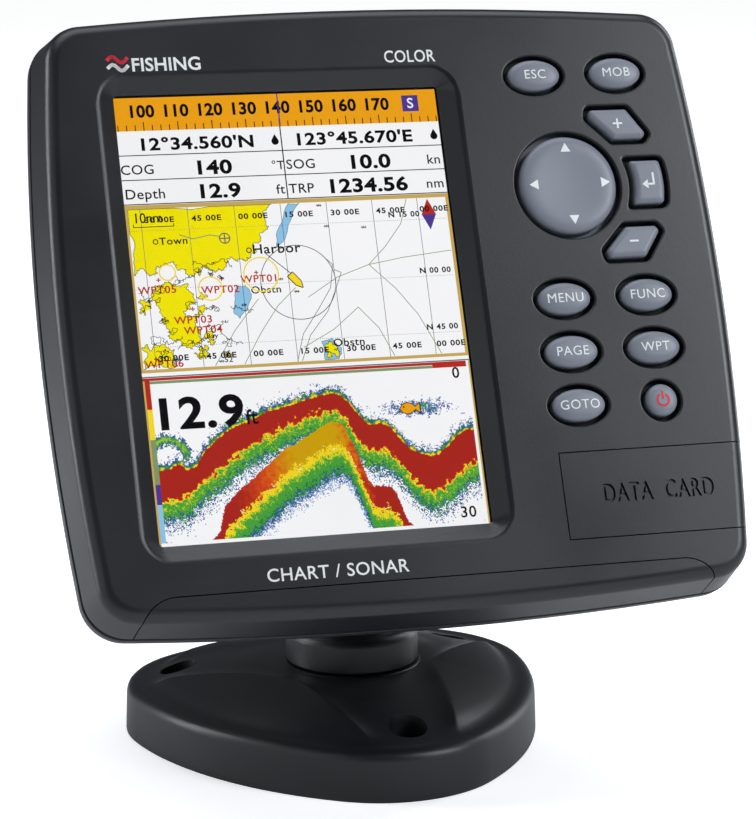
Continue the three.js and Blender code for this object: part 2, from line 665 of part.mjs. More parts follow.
// Memory card behind its door
add(head, 'card_door', cardDoor(), finish.bezel);
const bayTop = FACE_N - BEZEL_WALL - GAP;
const slot = { w: CARD.w / 2 + 0.4, t: CARD.t / 2 + GAP };
const slotCut = box(CARD.x - slot.w, CARD.x + slot.w, CARD.u - slot.t, CARD.u + slot.t, -60, 10);
const bay = manifold(box(CARD.x - 20, CARD.x + 20, CARD.u - 11, CARD.u + 10, bayTop - 2.4, bayTop));
add(head, 'card_bay', cut(bay, slotCut), finish.part);
const holder = manifold(box(CARD.x - 14, CARD.x + 14, CARD.u - 3.5, CARD.u + 3.5, -32.4, bayTop - 2.7));
add(head, 'card_socket', cut(holder, slotCut), finish.steel);
const card = box(
  CARD.x - CARD.w / 2, CARD.x + CARD.w / 2, CARD.u - CARD.t / 2, CARD.u + CARD.t / 2,
  CARD.frontN - CARD.length, CARD.frontN,
);
add(head, 'memory_card', card, finish.part);

// Electronics on the main board
const mainTop = -34.4;
add(head, 'main_board', prism(rounded(rectangle(-60, 60, -50, 56), 3), mainTop - BOARD_T, mainTop), finish.board);
const onBoard = mainTop + GAP;
add(head, 'shield_can', box(-45, -5, 5, 40, onBoard, onBoard + 6), finish.steel);
add(head, 'sounder_transformer', box(-50, -28, -44, -22, onBoard, onBoard + 16), finish.part);
add(head, 'buzzer', rod(20, 38, 8, onBoard, onBoard + 6), finish.part);
add(head, 'backup_cell', rod(30, -16, 10, onBoard, onBoard + 3.2), finish.steel);

// Rear sockets
const pinCounts = { power: 3, sounder: 5, antenna: 6 };
socketPlaces().forEach(([name, x, u]) => {
  add(head, `${name}_socket`, socketShell(x, u), finish.part);
  add(head, `${name}_pins`, socketPins(x, u, pinCounts[name]), finish.brass);
});

// Tilt bracket on the back
add(head, 'rear_bracket', rearBracket(), finish.base);
plateScrewPlaces().forEach(([x, u], i) => {
  const { r, headR, headH } = PLATE_SCREW;
  const seat = BACK_N - GAP - PLATE.t - GAP;
  add(head, `bracket_screw_${i + 1}`, screw(x, u, r, BACK_N + 6, seat, headR, headH), finish.steel);
});
const nutX = -EAR.inner - EAR.t - GAP;
const nut = cut(
  manifold(prism(ellipse(0, 0, 5.8, 5.8, 6), nutX - 5, nutX)),
  rod(0, 0, BOLT_R + GAP, nutX - 6, nutX + 1, 12),
);
add(fishFinder, 'tilt_nut', alongX(geometryOf(nut)).translate(0, 0, PIVOT_Z), finish.steel);
add(fishFinder, 'tilt_knob', alongX(geometryOf(tiltKnob())).translate(0, 0, PIVOT_Z), finish.part);
const boltEnd = EAR.inner + EAR.t + KNOB.h - 3;
add(fishFinder, 'tilt_bolt', alongX(rod(0, 0, BOLT_R, nutX - 5.5, boltEnd, 12)).translate(0, 0, PIVOT_Z), finish.steel);

export default fishFinder;
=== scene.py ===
# %% [markdown]
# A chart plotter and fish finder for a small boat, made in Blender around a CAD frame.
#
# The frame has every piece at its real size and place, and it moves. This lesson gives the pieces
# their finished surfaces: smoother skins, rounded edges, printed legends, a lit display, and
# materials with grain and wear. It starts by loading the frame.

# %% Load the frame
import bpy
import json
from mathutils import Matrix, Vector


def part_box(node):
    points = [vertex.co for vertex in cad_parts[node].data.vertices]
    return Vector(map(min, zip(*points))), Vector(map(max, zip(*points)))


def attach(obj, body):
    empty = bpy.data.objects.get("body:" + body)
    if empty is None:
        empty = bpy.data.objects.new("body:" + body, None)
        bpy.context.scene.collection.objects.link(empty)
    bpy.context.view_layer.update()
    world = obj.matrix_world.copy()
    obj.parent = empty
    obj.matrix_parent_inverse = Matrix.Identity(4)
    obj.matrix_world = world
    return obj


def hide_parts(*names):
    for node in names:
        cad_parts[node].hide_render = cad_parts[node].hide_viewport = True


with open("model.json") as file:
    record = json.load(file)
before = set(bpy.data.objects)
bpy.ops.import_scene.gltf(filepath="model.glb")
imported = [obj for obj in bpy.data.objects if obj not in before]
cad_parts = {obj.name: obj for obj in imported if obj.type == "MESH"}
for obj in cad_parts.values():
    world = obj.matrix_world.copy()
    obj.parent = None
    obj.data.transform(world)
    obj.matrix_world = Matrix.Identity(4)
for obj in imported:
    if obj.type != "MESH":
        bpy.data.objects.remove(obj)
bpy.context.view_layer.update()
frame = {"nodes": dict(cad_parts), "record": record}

# %% [markdown]
# The head leans back, so it is drawn in its own frame, in millimetres: x to the right, u up along
# the display, and n out of the display. The direction in which a key is pressed gives the lean, and
# the middle of the display panel gives the origin, so nothing here has to be measured twice.

# %% The head's own frame
import json
import math
import random
import bmesh
import bpy
from mathutils import Euler, Matrix, Vector

MM = 0.001
record = frame["record"]
joints = {joint["name"]: joint for joint in record["behaviour"]["joints"]}
RIGHT = Vector((1, 0, 0))
OUT = -Vector(joints["key_menu_press"]["axis"]).normalized()
UP = OUT.cross(RIGHT)
PICTURE = {"x": -24.9, "w": 83.6, "h": 114.0}
PANEL_MIDDLE_N = -3.05

def middle(node):
    low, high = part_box(node)
    return (low + high) / 2

head_origin = middle("lcd_panel") - (RIGHT * PICTURE["x"] + OUT * PANEL_MIDDLE_N) * MM

def head(x, u, n=0.0):
    return head_origin + (RIGHT * x + UP * u + OUT * n) * MM

def in_head(point):
    offset = (point - head_origin) / MM
    return offset.dot(RIGHT), offset.dot(UP), offset.dot(OUT)

def spans(node):
    places = [in_head(v.co) for v in frame["nodes"][node].data.vertices]
    return [(min(column), max(column)) for column in zip(*places)]

print("head origin", [round(v, 4) for v in head_origin], "lean",
      round(math.degrees(UP.angle(Vector((0, 0, 1)))), 2))

# %% [markdown]
# Outlines come first. Each one is a list of flat points that runs anticlockwise, made by a small
# function, so that the same outline can be drawn larger, smaller or with softer corners wherever a
# piece needs it.

# %% Outlines
def arc(cx, cy, radius, start, end, steps, open_end=False):
    count = steps if open_end else steps + 1
    angles = [start + (end - start) * i / steps for i in range(count)]
    return [(cx + radius * math.cos(a), cy + radius * math.sin(a)) for a in angles]

def ellipse(cx, cy, a, b, steps=64):
    return [(cx + a * math.cos(t), cy + b * math.sin(t)) for t in
            [2 * math.pi * i / steps for i in range(steps)]]

def rectangle(x0, x1, y0, y1):
    return [(x0, y0), (x1, y0), (x1, y1), (x0, y1)]

def neighbours(points):
    return zip([points[-1]] + points[:-1], points, points[1:] + points[:1])

def grow(points, d):
    out = []
    for before, here, after in neighbours([Vector(p) for p in points]):
        first = (here - before).normalized()
        second = (after - here).normalized()
        n1 = Vector((first.y, -first.x))
        n2 = Vector((second.y, -second.x))
        out.append(tuple(here + (n1 + n2) * (d / (1 + n1.dot(n2)))))
    return out

def rounded(points, radius, steps=8):
    out = []
    for before, here, after in neighbours([Vector(p) for p in points]):
        a = (before - here).normalized()
        b = (after - here).normalized()
        half = a.angle(b) / 2
        centre = here + (a + b).normalized() * (radius / math.sin(half))
        start = here + a * (radius / math.tan(half)) - centre
        end = here + b * (radius / math.tan(half)) - centre
        sweep = math.atan2(start.x * end.y - start.y * end.x, start.dot(end))
        first = math.atan2(start.y, start.x)
        out += arc(centre.x, centre.y, radius, first, first + sweep, steps)
    return out

SIDE_BULGE = 640.0
END_BULGE = 1000.0

def barrel(half_w, half_h, corner, side_steps=14, corner_steps=12):
    cx, cy = half_w - corner, half_h - corner
    for _ in range(6):
        cx = half_w - SIDE_BULGE + math.sqrt((SIDE_BULGE - corner) ** 2 - cy ** 2)
        cy = half_h - END_BULGE + math.sqrt((END_BULGE - corner) ** 2 - cx ** 2)
    side_angle = math.atan2(cy, cx - half_w + SIDE_BULGE)
    end_angle = math.atan2(cx, cy - half_h + END_BULGE)
    quarter = math.pi / 2
    half = arc(half_w - SIDE_BULGE, 0, SIDE_BULGE, -side_angle, side_angle, side_steps, True)
    half += arc(cx, cy, corner, side_angle, quarter - end_angle, corner_steps, True)
    half += arc(0, half_h - END_BULGE, END_BULGE, quarter - end_angle, quarter + end_angle, side_steps, True)
    half += arc(-cx, cy, corner, quarter + end_angle, 2 * quarter - side_angle, corner_steps, True)
    return half + [(-x, -y) for x, y in half]

print("outline of the head has", len(barrel(88, 80, 11)), "points")

# %% [markdown]
# Three ways of making a mesh cover nearly everything. A loft joins outlines that are stacked along
# one direction, which suits moulded shells. A turned piece spins a profile round an axis, which
# suits necks, knobs and screws. A boolean cut makes the openings. The cutters are lofts that flare
# where they meet the surface, so each opening comes out with a rounded rim and needs no bevel.

# %% Meshes
def new_piece(name, points, faces):
    mesh = bpy.data.meshes.new(name)
    mesh.from_pydata([tuple(p) for p in points], [], faces)
    work = bmesh.new()
    work.from_mesh(mesh)
    bmesh.ops.remove_doubles(work, verts=work.verts, dist=1e-7)
    bmesh.ops.recalc_face_normals(work, faces=work.faces)
    work.to_mesh(mesh)
    work.free()
    piece = bpy.data.objects.new(name, mesh)
    bpy.context.scene.collection.objects.link(piece)
    return piece

def loft(name, sections, place=head, caps=True):
    """sections: [(height, outline), ...], all outlines with the same number of points."""
    count = len(sections[0][1])
    points = [place(x, y, height) for height, outline in sections for x, y in outline]
    faces = []
    for k in range(len(sections) - 1):
        for i in range(count):
            a, b = k * count + i, k * count + (i + 1) % count
            faces.append((a, b, b + count, a + count))
    if caps:
        last = (len(sections) - 1) * count
        faces.append(tuple(reversed(range(count))))
        faces.append(tuple(last + i for i in range(count)))
    return new_piece(name, points, faces)

def turned(name, profile, place=head, x=0.0, y=0.0, steps=64):
    """profile: [(radius, height), ...] from one end of the axis to the other."""
    sections = [(height, ellipse(x, y, max(radius, 1e-4), max(radius, 1e-4), steps)) for radius,
                height in profile]
    return loft(name, sections, place)

def along_z(x, y, z):
    return Vector((x, y, z)) * MM

pivot = Vector(joints["tilt"]["pos_m"])

def along_bolt(y, z, x):
    return pivot + Vector((x, y, z)) * MM

def settle(piece):
    graph = bpy.context.evaluated_depsgraph_get()
    mesh = bpy.data.meshes.new_from_object(piece.evaluated_get(graph))
    piece.modifiers.clear()
    piece.data = mesh

def combine(piece, tool, operation="DIFFERENCE", solver="MANIFOLD"):
    modifier = piece.modifiers.new("combine", "BOOLEAN")
    modifier.operation = operation
    modifier.solver = solver
    modifier.object = tool
    settle(piece)
    bpy.data.objects.remove(tool)
    return piece

def smooth(piece, angle=32):
    """Shades the piece smoothly, with the large faces setting the shading of the small ones."""
    piece.data.shade_smooth()
    piece.data.set_sharp_from_angle(angle=math.radians(angle))
    modifier = piece.modifiers.new("even", "WEIGHTED_NORMAL")
    modifier.keep_sharp = True
    modifier.weight = 100
    settle(piece)
    return piece

def fit(piece, body, slot, material, *nodes):
    """Gives a piece its material and its body, and lets it stand for CAD nodes."""
    piece.data.materials.clear()
    piece.data.materials.append(material)
    if nodes:
        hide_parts(*nodes)
    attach(piece, body)
    return piece

print("mesh helpers ready")

# %% [markdown]
# Real moulded plastic is never one flat colour. It has a spark-eroded grain, its sheen changes where
# hands and cloths have been, and its edges are a little polished. Three effects are shared by many
# finishes, so each is a node group that is built once, with sockets that say what it takes and gives.
# A small helper wires nodes, so that a material reads as a list of steps.

# %% Node helpers
def put(tree, kind, **settings):
    node = tree.nodes.new("ShaderNode" + kind)
    for name, value in settings.items():
        setattr(node, name, value)
    return node

def feed(tree, socket, value):
    if isinstance(value, bpy.types.NodeSocket):
        tree.links.new(value, socket)
    else:
        socket.default_value = value

def calc(tree, operation, *values):
    node = put(tree, "Math", operation=operation)
    for socket, value in zip(node.inputs, values):
        feed(tree, socket, value)
    return node.outputs[0]

def blend(tree, factor, first, second):
    node = put(tree, "Mix", data_type="RGBA")
    feed(tree, node.inputs["Factor"], factor)
    feed(tree, node.inputs["A"], first)
    feed(tree, node.inputs["B"], second)
    return node.outputs["Result"]

def between(tree, value, low, high, to_low=0.0, to_high=1.0):
    node = put(tree, "MapRange")
    for name, number in (("Value", value), ("From Min", low), ("From Max", high),
                         ("To Min", to_low), ("To Max", to_high)):
        feed(tree, node.inputs[name], number)
    return node.outputs["Result"]

def cloud(tree, scale, detail=3.0, place=None):
    """Soft noise, in cycles per millimetre of the object."""
    node = put(tree, "TexNoise")
    node.inputs["Scale"].default_value = scale / MM
    node.inputs["Detail"].default_value = detail
    feed(tree, node.inputs["Vector"], place or put(tree, "TexCoord").outputs["Object"])
    return node.outputs["Fac"]

def group(name, takes, gives):
    """A shader group with named sockets: takes and gives are [(name, kind, default), ...]."""
    tree = bpy.data.node_groups.new(name, "ShaderNodeTree")
    for label, kind, default in takes:
        socket = tree.interface.new_socket(label, in_out="INPUT", socket_type="NodeSocket" + kind)
        socket.default_value = default
    for label, kind in gives:
        tree.interface.new_socket(label, in_out="OUTPUT", socket_type="NodeSocket" + kind)
    return tree, tree.nodes.new("NodeGroupInput").outputs, tree.nodes.new("NodeGroupOutput").inputs

def use(tree, shared, **values):
    node = tree.nodes.new("ShaderNodeGroup")
    node.node_tree = shared
    for label, value in values.items():
        feed(tree, node.inputs[label.replace("_", " ")], value)
    return node.outputs

print("node helpers ready")

# %% Moulded grain: fine bumps left by the mould, mixed with a softer unevenness
moulded_grain, takes, gives = group(
    "Moulded grain", [("Grain Size", "Float", 0.25), ("Softness", "Float", 0.35)], [("Height", "Float")])
coordinates = put(moulded_grain, "TexCoord").outputs["Object"]
pebbles = put(moulded_grain, "TexVoronoi", feature="SMOOTH_F1")
feed(moulded_grain, pebbles.inputs["Vector"], coordinates)
feed(moulded_grain, pebbles.inputs["Scale"], calc(moulded_grain, "DIVIDE", 1 / MM, takes["Grain Size"]))
dimples = calc(moulded_grain, "MULTIPLY", pebbles.outputs["Distance"],
               calc(moulded_grain, "SUBTRACT", 1.0, takes["Softness"]))
swells = calc(moulded_grain, "MULTIPLY", cloud(moulded_grain, 0.9), takes["Softness"])
feed(moulded_grain, gives["Height"], calc(moulded_grain, "ADD", dimples, swells))
print("made", moulded_grain.name)

# %% Handling: broad, soft patches where the sheen differs, with fine scuffs across them
handling, takes, gives = group(
    "Handling", [("Patch Size", "Float", 40.0), ("Scuffs", "Float", 0.3)],
    [("Patches", "Float"), ("Scuffs", "Float")])
coordinates = put(handling, "TexCoord").outputs["Object"]
patches = put(handling, "TexNoise")
feed(handling, patches.inputs["Vector"], coordinates)
feed(handling, patches.inputs["Scale"], calc(handling, "DIVIDE", 1 / MM, takes["Patch Size"]))
feed(handling, gives["Patches"], between(handling, patches.outputs["Fac"], 0.32, 0.68))
stretched = put(handling, "Mapping")
stretched.inputs["Rotation"].default_value = (0.3, 0.5, 0.7)
stretched.inputs["Scale"].default_value = (1.0, 9.0, 9.0)
feed(handling, stretched.inputs["Vector"], coordinates)
streaks = between(handling, cloud(handling, 0.06, 6.0, stretched.outputs["Vector"]), 0.60, 0.72)
feed(handling, gives["Scuffs"], calc(handling, "MULTIPLY", streaks, takes["Scuffs"]))
print("made", handling.name)

# %% Edge wear: where the surface turns sharply it is rubbed smoother and a little paler
edge_wear, takes, gives = group(
    "Edge wear", [("Width", "Float", 0.4), ("Amount", "Float", 0.6)], [("Wear", "Float")])
softened = put(edge_wear, "Bevel", samples=4)
feed(edge_wear, softened.inputs["Radius"], calc(edge_wear, "MULTIPLY", takes["Width"], MM))
alike = put(edge_wear, "VectorMath", operation="DOT_PRODUCT")
feed(edge_wear, alike.inputs[0], softened.outputs["Normal"])
feed(edge_wear, alike.inputs[1], put(edge_wear, "NewGeometry").outputs["Normal"])
turning = between(edge_wear, alike.outputs["Value"], 0.995, 0.85)
broken = between(edge_wear, cloud(edge_wear, 0.5, 5.0), 0.35, 0.6)
feed(edge_wear, gives["Wear"], calc(edge_wear, "MULTIPLY", calc(edge_wear, "MULTIPLY", turning, broken),
                                    takes["Amount"]))
print("made", edge_wear.name)

# %% [markdown]
# A finish puts the groups to work. The base colour drifts a little between two tones and pales on
# worn edges, the roughness follows the handling, and the grain goes through one Bump node. What is
# the same all over, such as the index of refraction, is set on the shader itself.

# %% Plastics and rubbers
def moulded(name, tone, worn_tone, roughness, grain_size=0.25, grain_depth=0.04, sheen_change=0.1,
            wear=0.5, softness=0.35, specular=0.5):
    material = bpy.data.materials.new(name)
    material.use_nodes = True
    tree = material.node_tree
    shader = tree.nodes["Principled BSDF"]
    hands = use(tree, handling, Patch_Size=45.0, Scuffs=0.4)
    worn = use(tree, edge_wear, Width=0.45, Amount=wear)["Wear"]
    dark = tuple(channel * 0.86 for channel in tone) + (1,)
    drift = blend(tree, hands["Patches"], dark, tuple(tone) + (1,))
    feed(tree, shader.inputs["Base Color"], blend(tree, worn, drift, tuple(worn_tone) + (1,)))
    rough = between(tree, hands["Patches"], 0.0, 1.0, roughness - sheen_change / 2,
                    roughness + sheen_change / 2)
    rough = calc(tree, "SUBTRACT", rough, calc(tree, "MULTIPLY", worn, 0.12))
    feed(tree, shader.inputs["Roughness"],
         calc(tree, "ADD", rough, calc(tree, "MULTIPLY", hands["Scuffs"], 0.08)))
    shader.inputs["Specular IOR Level"].default_value = specular
    bump = put(tree, "Bump")
    bump.inputs["Distance"].default_value = grain_depth * MM
    bump.inputs["Strength"].default_value = 0.6
    feed(tree, bump.inputs["Height"], use(tree, moulded_grain, Grain_Size=grain_size,
                                          Softness=softness)["Height"])
    feed(tree, shader.inputs["Normal"], bump.outputs["Normal"])
    return material

charcoal = moulded("Charcoal moulding", (0.0075, 0.0086, 0.0112), (0.033, 0.036, 0.043), 0.345, 0.3, 0.03)
case_grey = moulded("Rear case moulding", (0.020, 0.0215, 0.0245), (0.06, 0.063, 0.07), 0.40, 0.35, 0.04)
base_black = moulded("Base moulding", (0.0085, 0.0092, 0.0115), (0.035, 0.037, 0.042), 0.42, 0.4, 0.05)
key_grey = moulded("Key moulding", (0.200, 0.218, 0.262), (0.27, 0.285, 0.33), 0.42, 0.2, 0.012, wear=0.35)
rubber_black = moulded("Black rubber", (0.008, 0.008, 0.009), (0.02, 0.02, 0.022), 0.72, 0.5, 0.04, wear=0.3)
fitting_black = moulded("Fitting plastic", (0.014, 0.014, 0.016), (0.04, 0.04, 0.043), 0.4, 0.3, 0.02)
print("plastics:", [m.name for m in bpy.data.materials if m.node_tree and m.node_tree.nodes.get("Principled BSDF")])

# %% Metals and boards
def drawn_metal(name, tone, roughness):
    material = bpy.data.materials.new(name)
    material.use_nodes = True
    tree = material.node_tree
    shader = tree.nodes["Principled BSDF"]
    hands = use(tree, handling, Patch_Size=8.0, Scuffs=0.8)
    dark = tuple(channel * 0.7 for channel in tone) + (1,)
    feed(tree, shader.inputs["Base Color"], blend(tree, hands["Patches"], dark, tuple(tone) + (1,)))
    feed(tree, shader.inputs["Metallic"],
         calc(tree, "SUBTRACT", 1.0, calc(tree, "MULTIPLY", hands["Scuffs"], 0.1)))
    feed(tree, shader.inputs["Roughness"], between(tree, hands["Patches"], 0, 1, roughness, roughness + 0.15))
    bump = put(tree, "Bump")
    bump.inputs["Distance"].default_value = 0.01 * MM
    feed(tree, bump.inputs["Height"], cloud(tree, 3.0, 4.0))
    feed(tree, shader.inputs["Normal"], bump.outputs["Normal"])
    return material

def masked_board(name):
    material = bpy.data.materials.new(name)
    material.use_nodes = True
    tree = material.node_tree
    shader = tree.nodes["Principled BSDF"]
    weave = put(tree, "TexBrick")
    weave.inputs["Scale"].default_value = 0.5 / MM
    weave.inputs["Color1"].default_value = (0.010, 0.095, 0.035, 1)
    weave.inputs["Color2"].default_value = (0.014, 0.115, 0.045, 1)
    weave.inputs["Mortar"].default_value = (0.02, 0.15, 0.06, 1)
    feed(tree, weave.inputs["Vector"], put(tree, "TexCoord").outputs["Object"])
    hands = use(tree, handling, Patch_Size=20.0, Scuffs=0.2)
    feed(tree, shader.inputs["Base Color"], weave.outputs["Color"])
    feed(tree, shader.inputs["Roughness"], between(tree, hands["Patches"], 0, 1, 0.25, 0.4))
    return material

steel = drawn_metal("Stainless steel", (0.62, 0.63, 0.65), 0.28)
brass = drawn_metal("Plated contacts", (0.78, 0.6, 0.3), 0.2)
board_green = masked_board("Circuit board")
print("metals and boards:", steel.name, brass.name, board_green.name)

# %% Paint for the legends: thin, slightly raised, a little uneven
def legend_paint(name, tone, glow=0.0):
    material = bpy.data.materials.new(name)
    material.use_nodes = True
    tree = material.node_tree
    shader = tree.nodes["Principled BSDF"]
    hands = use(tree, handling, Patch_Size=3.0, Scuffs=0.5)
    dark = tuple(channel * 0.9 for channel in tone) + (1,)
    colour = blend(tree, hands["Patches"], dark, tuple(tone) + (1,))
    feed(tree, shader.inputs["Base Color"], colour)
    feed(tree, shader.inputs["Roughness"], between(tree, hands["Patches"], 0, 1, 0.45, 0.6))
    # An emission in the paint's own colour is a painted glow, which brightens the paint as if it were lit.
    if glow:
        feed(tree, shader.inputs["Emission Color"], colour)
        shader.inputs["Emission Strength"].default_value = glow
    return material

white_paint = legend_paint("White legend", (0.82, 0.83, 0.84))
# The red legend carries a faint painted glow; the red paint itself gives off no light.
red_paint_with_painted_glow = legend_paint("Red legend", (0.60, 0.008, 0.03), 0.12)
print("paints:", white_paint.name, red_paint_with_painted_glow.name)

# %% [markdown]
# The clear window over the display has an even, polished face. It only needs a faint unevenness in
# its gloss, because a perfectly clean sheet of glass disappears.

# %% Clear window
clear_window = bpy.data.materials.new("Clear window")
clear_window.use_nodes = True
tree = clear_window.node_tree
shader = tree.nodes["Principled BSDF"]
shader.inputs["Transmission Weight"].default_value = 1.0
shader.inputs["IOR"].default_value = 1.2
wipes = use(tree, handling, Patch_Size=25.0, Scuffs=0.3)
feed(tree, shader.inputs["Base Color"], blend(tree, wipes["Patches"], (0.96, 0.965, 0.965, 1),
                                              (0.99, 0.99, 0.99, 1)))
feed(tree, shader.inputs["Roughness"], between(tree, wipes["Patches"], 0, 1, 0.0, 0.03))
print("made", clear_window.name)

# %% [markdown]
# The front bezel is one moulding about ten millimetres deep, open at the back. Its sides bow out a
# little, its face rolls over into them, and the face is cut through for the display, the keys, the
# card door and a trim strip. It is a loft of the bowed outline, with the openings cut by lofts that
# flare at the face, so that each rim is rounded as a mould would leave it.

# %% Front bezel: the shell
FACE = 3.6
PARTING = -10.9
HALF_W, HALF_H, CORNER = 88.6, 80.0, 11.0
DRAFT = 1.7
FACE_ROUND = 3.6
WALL = 3.4

def bezel_skin(name, d=0.0):
    def at(n, inset):
        return n, barrel(HALF_W - inset - d, HALF_H - inset - d, max(CORNER - inset * 0.7 - d, 3))
    back = [at(PARTING - 1, 0)] if d else [at(PARTING, 0.5), at(PARTING + 0.15, 0.17), at(PARTING + 0.5, 0)]
    quarter = [math.pi / 2 * k / 10 for k in range(11)]
    rolled = [at(FACE - d - FACE_ROUND * (1 - math.sin(a)),
                 DRAFT + FACE_ROUND * (1 - math.cos(a))) for a in quarter]
    return loft(name, back + rolled)

bezel = bezel_skin("front_bezel_moulding")
combine(bezel, bezel_skin("inside", WALL))
print("bezel shell:", len(bezel.data.polygons), "faces")

# %% Openings with rounded rims
def flared(name, outline, low, high=FACE, flare=0.5, spread=1.0):
    """A cutter whose outline(d) widens along a quarter circle just under the face."""
    sections = [(low, outline(0))]
    for k in range(6):
        a = math.pi / 2 * k / 5
        sections.append((high - flare + flare * math.sin(a), outline(spread * flare * (1 - math.cos(a)))))
    sections.append((high + 3, outline(spread * flare)))
    return loft(name, sections)

def screen_frame(grown, corner):
    x, w, h = PICTURE["x"], PICTURE["w"] / 2 + grown, PICTURE["h"] / 2 + grown
    return rounded(rectangle(x - w, x + w, -h, h), corner, 10)

inner_n = FACE - WALL
recess = [(inner_n - 1, 0.2, 1.0), (inner_n, 0.2, 1.0), (inner_n + 0.5, 0.85, 1.9), (inner_n + 1.3, 1.9, 3.4),
          (inner_n + 2.1, 2.95, 5.0), (FACE - 0.75, 3.6, 6.0), (FACE - 0.42, 4.05, 6.7),
          (FACE - 0.2, 4.45, 7.3),
          (FACE - 0.06, 4.9, 7.9), (FACE, 5.4, 8.5), (FACE + 3, 5.4, 8.5)]
combine(bezel, loft("recess", [(n, screen_frame(d, r)) for n, d, r in recess]))
print("display recess cut, slope", round(math.degrees(math.atan2(3.4, 4.3)), 1), "degrees")

# %% [markdown]
# Each key sits in a well of its own shape. The wells of the oval keys are ellipses, the two zoom keys
# are slanted to follow the round cursor pad, and the enter key is a piece of a ring around it. A
# well is a function of how far it is grown, so the same function also gives the key cap inside it.

# %% Key wells
def centre(node):
    (x0, x1), (u0, u1), _ = spans(node)
    return (x0 + x1) / 2, (u0 + u1) / 2

KEY_FLANGE = 0.8
cursor_x, cursor_u = centre("cursor_pad")

def oval_well(node):
    x, u = centre(node)
    (x0, x1), (u0, u1), _ = spans(node)
    a, b = (x1 - x0) / 2 - KEY_FLANGE, (u1 - u0) / 2 - KEY_FLANGE
    return lambda d: ellipse(x, u, a + d, b + d)

def slanted_well(flip):
    x, u = centre("key_function")[0] - 1.2, cursor_u + flip * 15.8
    corners = [(-8.3, 5.3), (-9.1, 1.8), (-2.4, -5.2), (6.7, -5.2), (8.7, -2.7), (3.2, 5.3)]
    points = [(x + px, u + py * flip) for px, py in corners]
    if flip < 0:
        points.reverse()
    return lambda d: rounded(grow(points, d), 1.75 + d * 0.6, 9)

def enter_well(d):
    inner, outer, half = 16.9 - d, 27.3 + d, 7 + d
    reach = [math.asin(half / inner), math.asin(half / outer)]
    far = arc(cursor_x, cursor_u, outer, -reach[1], reach[1], 8)
    near = arc(cursor_x, cursor_u, inner, reach[0], -reach[0], 8)
    return rounded_ends(far, near, 1.7 + max(d, -1.4) * 0.6)

def rounded_ends(far, near, radius):
    """Joins two arcs into one outline whose four corners are round."""
    corners = [Vector(far[0]), Vector(far[-1]), Vector(near[0]), Vector(near[-1])]
    beyond = [Vector(far[1]), Vector(far[-2]), Vector(near[1]), Vector(near[-2])]
    partner = [corners[3], corners[2], corners[1], corners[0]]
    def turn(k, backwards):
        here, along, across = corners[k], (beyond[k] - corners[k]).normalized(), (partner[k] - corners[k]).normalized()
        a, b = here + along * radius * 1.1, here + across * radius * 1.1
        bend = [(1 - t) ** 2 * a + 2 * t * (1 - t) * here + t * t * b for t in [i / 6 for i in range(7)]]
        return [tuple(p) for p in (reversed(bend) if backwards else bend)]
    return turn(0, True) + far[2:-2] + turn(1, False) + turn(2, True) + near[2:-2] + turn(3, False)

oval_keys = ["key_escape", "key_man_overboard", "key_menu", "key_function", "key_page", "key_waypoint",
             "key_goto", "key_power"]
wells = {name: oval_well(name) for name in oval_keys}
wells["key_zoom_in"] = slanted_well(1)
wells["key_zoom_out"] = slanted_well(-1)
wells["key_enter"] = enter_well
CURSOR_WELL = 14.2
wells["cursor_pad"] = lambda d: ellipse(cursor_x, cursor_u, CURSOR_WELL + d, CURSOR_WELL + d, 96)
for name, well in wells.items():
    combine(bezel, flared("well", well, inner_n - 3, flare=0.55))
print("wells cut:", len(wells))

# %% [markdown]
# The card door and the trim strip are let into the same skin. Each is cut out of a copy of the skin
# with a straight-sided cutter, and the bezel is cut by the same outline a little larger. That leaves
# an even shadow line round them on the face and down the side.

# %% Card door and trim strip
DOOR = {"left": 35.7, "top": -41.5, "bottom": -63.3, "t": 2.2}
TRIM = {"half_w": 73.7, "top": -70.3, "corner": 9.0, "t": 1.4}
SEAM = 0.3

def door_outline(d):
    return rectangle(DOOR["left"] - d, 110 + d, DOOR["bottom"] - d, DOOR["top"] + d)

def trim_outline(d):
    w, top, r = TRIM["half_w"], TRIM["top"], TRIM["corner"]
    shoulders = arc(w - r, top - r, r + d, 0, math.pi / 2, 14) + arc(r - w, top - r, r + d, math.pi / 2,
                                                                     math.pi, 14)
    return [(-w - d, -110), (w + d, -110)] + shoulders

def let_in(name, outline, depth, low):
    seat = loft("seat", [(low - SEAM, outline(SEAM)), (FACE + 5, outline(SEAM))])
    combine(seat, bezel_skin("under", depth + SEAM))
    combine(bezel, seat)
    insert = loft(name, [(low, outline(0)), (FACE + 5, outline(0))])
    combine(insert, bezel_skin("over"), "INTERSECT")
    combine(insert, bezel_skin("under", depth))
    return insert

door = let_in("card_door_moulding", door_outline, DOOR["t"], PARTING + 1)
trim = let_in("lower_trim_moulding", trim_outline, TRIM["t"], PARTING - 2)
card_x, card_u = centre("memory_card")
combine(bezel, loft("hatch", [(-4, rounded(rectangle(card_x - 16, card_x + 16, card_u - 7, card_u + 7), 1.5)),
                              (FACE, rounded(rectangle(card_x - 16, card_x + 16, card_u - 7, card_u + 7),
                                             1.5))]))
print("door", [round(v * 1000, 1) for v in door.dimensions], "trim",
      [round(v * 1000, 1) for v in trim.dimensions])

